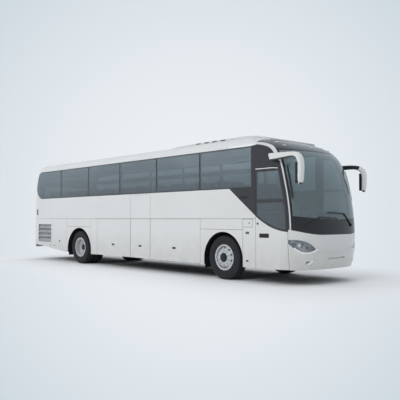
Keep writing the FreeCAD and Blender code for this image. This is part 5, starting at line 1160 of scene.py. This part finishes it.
class COACH_OT_tail_trim(bpy.types.Operator):
    """Makes the engine door's louvres, handle, blank plate and its lamp, the brake lamp and the reflectors"""
    bl_idname = "coach.tail_trim"
    bl_label = "Tail trim"

    def execute(self, context):
        slats = []
        for column in (-0.42, 0.42):
            for row in range(7):
                up = 1.40 - LOUVRE_PITCH * row
                outline = [(along, column - 0.29, up - drop) for along, drop in (
                    (-6.045, 0.0), (-6.056, 0.012), (-6.056, 0.017), (-6.045, 0.024))]
                slats.append(slab("slat", outline, (0.0, 0.58, 0.0)))
        settle(joined(slats, "engine_door_louvres"), "engine_door", "louvre", 0.001)
        for name, node, across, up, extent, body, finish_name, slot, *shape in (
                ("engine_door_handle", "engine_door", 0.0, 1.02, (0.20, 0.045, 0.026), "engine_door",
                 "trim", "black_plastic", 0.008, 0.2, 0.006, -0.004),
                ("number_plate", "engine_door", 0.0, 0.82, (0.53, 0.115, 0.012), "engine_door",
                 "plate", "white_paint", 0.004, 0.1, 0.008, -0.002),
                ("plate_lamp", "engine_door", 0.0, 0.925, (0.16, 0.03, 0.030), "engine_door",
                 "trim", "black_plastic", 0.006, 0.1, 0.005, 0.002),
                ("top_brake_lamp", "rear_wall", 0.0, 3.02, (0.50, 0.035, 0.016), "coach_body",
                 "red_lamp", "red_lens", 0.006, 0.3, 0.006, 0.002),
                *(("bumper_reflector_" + word, "rear_bumper", side * 0.95, 0.53, (0.14, 0.04, 0.012),
                   "coach_body", "red_lamp", "red_lens", 0.005, 0.3, 0.005, 0.002)
                  for side, word in SIDES)):
            pod(name, node, (TAIL, across, up), extent, body, finish_name, slot, *shape)
        return {"FINISHED"}


# Inside: padded seats on their shells, and the driver's place

SEAT_ROWS = 11
SEAT_PITCH = 0.83
SEAT_MIDDLE = 0.68
SALOON_FLOOR = 1.25
PLATFORM = 1.0
DRIVER_FRONT = 5.035
DRIVER_MIDDLE = 0.625
BACK_LEAN = math.radians(104.0)
COLUMN_RAKE = math.radians(35.0)


def plump(name, middle, extent, crown, channels):
    """A cushion pad: a block cut fine, its faces crowned, its sides drawn in and its channels pressed in."""
    pad = block(name, middle, extent)
    choose(pad, lambda place, normal: True)
    bpy.ops.mesh.subdivide(number_cuts=11)
    bpy.ops.object.mode_set(mode="OBJECT")
    middle = Vector(middle)
    half_size = Vector(extent) / 2
    for vertex in pad.data.vertices:
        share = Vector([(vertex.co[axis] - middle[axis]) / half_size[axis] for axis in range(3)])
        flat = [max(0.0, 1.0 - share[axis] ** 4) for axis in range(3)]
        seam = max([0.0] + [1.0 - abs(share.x - channel) / 0.12 for channel in channels])
        rise = crown * (flat[0] * flat[1]) - crown * 0.8 * seam * flat[1] * max(0.0, share.z)
        vertex.co.z += rise * share.z
        for axis, other in ((0, 1), (1, 0)):
            drawn = 0.06 * (1.0 - flat[other]) + 0.05 * abs(share.z) ** 3
            vertex.co[axis] -= share[axis] * half_size[axis] * drawn
    return modified(pad, "SUBSURF", levels=1, render_levels=1)


def seat_pads(name, front, middles, level, width):
    """Cushions and backs of one seat row; the back pad leans with the seat's shell."""
    cushions, backs = [], []
    for middle in middles:
        cushions.append(plump(name + "_cushion", (front - 0.205, middle, level + 0.425), (0.44, width, 0.11),
                              0.022, (-0.55, 0.1, 0.7)))
        back = plump(name + "_back", (0.0, 0.0, 0.0), (0.72, width * 0.98, 0.10), 0.020, (-0.5, 0.0, 0.42))
        place = Matrix.Translation((front - 0.535, middle, level + 0.755))
        carried(back, place @ Matrix.Rotation(-BACK_LEAN, 4, "Y"))
        backs.append(back)
    return cushions, backs


def seat_shell(name, front, middle, level, width):
    """A seat's pressed shell with its pedestal, and an armrest on each side."""
    outline = [(-0.36, 0.0), (-0.30, 0.0), (-0.29, 0.30), (-0.02, 0.335), (-0.015, 0.365), (-0.45, 0.352),
               (-0.665, 1.08), (-0.685, 1.07), (-0.53, 0.33), (-0.37, 0.29)]
    shell = slab(name, [(front + along, middle - width / 2, level + up) for along, up in outline],
                 (0.0, width, 0.0))
    pieces = [shell]
    for side in (-1, 1):
        across = middle + side * (width / 2 - 0.005)
        points = [(front - 0.50, across, level + 0.60), (front - 0.40, across, level + 0.635),
                  (front - 0.20, across, level + 0.64), (front - 0.10, across, level + 0.60)]
        pieces.append(tube(name + "_arm", points, 0.020))
    return joined(pieces, name)


class COACH_OT_seats(bpy.types.Operator):
    """Makes the padded seats on both sides and the driver's seat, with their shells"""
    bl_idname = "coach.seats"
    bl_label = "Seats"

    def execute(self, context):
        first = FRONT_AXLE + 0.32
        pads = seat_pads("seat", first, (-0.235, 0.235), SALOON_FLOOR, 0.44)
        cushion, back = joined(pads[0], "cushion_row"), joined(pads[1], "back_row")
        shell = seat_shell("shell_row", first, 0.0, SALOON_FLOOR, 0.94)
        for side, word in SIDES:
            node = "seats_" + word
            groups = ([], [], [])
            for row in range(SEAT_ROWS):
                place = Matrix.Translation((-SEAT_PITCH * row, side * SEAT_MIDDLE, 0.0))
                for group, pattern in zip(groups, (cushion, back, shell)):
                    group.append(carried(pattern, place, "row"))
            for pieces, name, finish_name, slot, fill in zip(
                    groups, ("cushions", "backs", "shells"), ("cloth", "cloth", "lining"),
                    ("seat_fabric", "seat_fabric", "grey_plastic"), (0.75, 0.75, 0.0)):
                piece = settle(joined(pieces, "seat_%s_%s" % (name, word)), "coach_body", finish_name,
                               0.0, 40.0, [node])
        for pattern in (cushion, back, shell):
            bpy.data.objects.remove(pattern)
        pads = seat_pads("driver", DRIVER_FRONT, (DRIVER_MIDDLE,), PLATFORM, 0.46)
        for pieces, name in zip(pads, ("driver_cushion", "driver_back")):
            piece = settle(joined(pieces, name), "coach_body", "cloth", 0.0, 40.0,
                           ["driver_seat"])
        shell = seat_shell("driver_seat_shell", DRIVER_FRONT, DRIVER_MIDDLE, PLATFORM, 0.47)
        settle(shell, "coach_body", "lining", 0.0, 40.0, ["driver_seat"])
        return {"FINISHED"}


class COACH_OT_cab(bpy.types.Operator):
    """Makes the instrument hood with its dials, the steering wheel's boss and the rack's edge lights"""
    bl_idname = "coach.cab"
    bl_label = "Driver's place"

    def execute(self, context):
        hood = block("instrument_hood", (5.42, DRIVER_MIDDLE, 1.365), (0.16, 0.46, 0.10))
        inset_and_push(hood, facing("x", -1), 0.014, -0.030)
        settle(hood, "coach_body", "dash", 0.012)
        for number, across in enumerate((0.50, 0.625, 0.75)):
            dial = drum("instrument_%d" % number, (5.366, across, 1.366), 0.038, 0.012, "X", 28)
            inset_and_push(dial, facing("x", -1), 0.006, -0.004)
            settle(dial, "coach_body", "chrome", 0.001)
        boss = drum("steering_boss", (0.0, 0.0, 0.0), 0.062, 0.030, "Z", 28)
        inset_and_push(boss, facing("z"), 0.014, 0.008)
        foot = Vector((5.40, DRIVER_MIDDLE, 1.3205))
        axis = Vector((-math.sin(COLUMN_RAKE), 0.0, math.cos(COLUMN_RAKE)))
        carried(boss, Matrix.Translation(foot + axis * 0.200) @ Matrix.Rotation(-COLUMN_RAKE, 4, "Y"))
        settle(boss, "coach_body", "dash", 0.004)
        for side, word in SIDES:
            strip = block("rack_light_" + word, (-1.0, side * 0.788, 2.795), (8.6, 0.016, 0.034))
            inset_and_push(strip, facing("y", -side), 0.006, 0.003)
            settle(strip, "coach_body", "lamp_white", 0.003)
        return {"FINISHED"}


PIECES = (COACH_OT_tyres, COACH_OT_wheel_fittings, COACH_OT_lamps, COACH_OT_door_trim, COACH_OT_side_trim,
          COACH_OT_mirrors, COACH_OT_roof_trim, COACH_OT_tail_trim, COACH_OT_seats, COACH_OT_cab)


class COACH_PT_pieces(bpy.types.Panel):
    """Lists the coach's sizes, its colours and the operators that make its pieces"""
    bl_idname = "COACH_PT_pieces"
    bl_label = "Touring coach"
    bl_space_type = "VIEW_3D"
    bl_region_type = "UI"
    bl_category = "Coach"

    def draw(self, context):
        for group in (context.scene.coach_sizes, context.scene.coach_colours):
            for name in group.__annotations__:
                self.layout.prop(group, name)
        for item in (COACH_OT_finishes, *PIECES, COACH_OT_stage):
            self.layout.operator(item.bl_idname)


CLASSES = (CoachSizes, CoachColours, COACH_OT_finishes, *PIECES, COACH_OT_stage, COACH_PT_pieces)


def register():
    for item in CLASSES:
        bpy.utils.register_class(item)
    bpy.types.Scene.coach_sizes = bpy.props.PointerProperty(type=CoachSizes)
    bpy.types.Scene.coach_colours = bpy.props.PointerProperty(type=CoachColours)


def unregister():
    del bpy.types.Scene.coach_colours
    del bpy.types.Scene.coach_sizes
    for item in reversed(CLASSES):
        bpy.utils.unregister_class(item)


def main():
    register()
    bpy.ops.coach.finishes()
    for item in PIECES:
        getattr(bpy.ops.coach, item.bl_idname.split(".")[1])()
    bpy.ops.coach.stage()


if __name__ == "__main__":
    main()
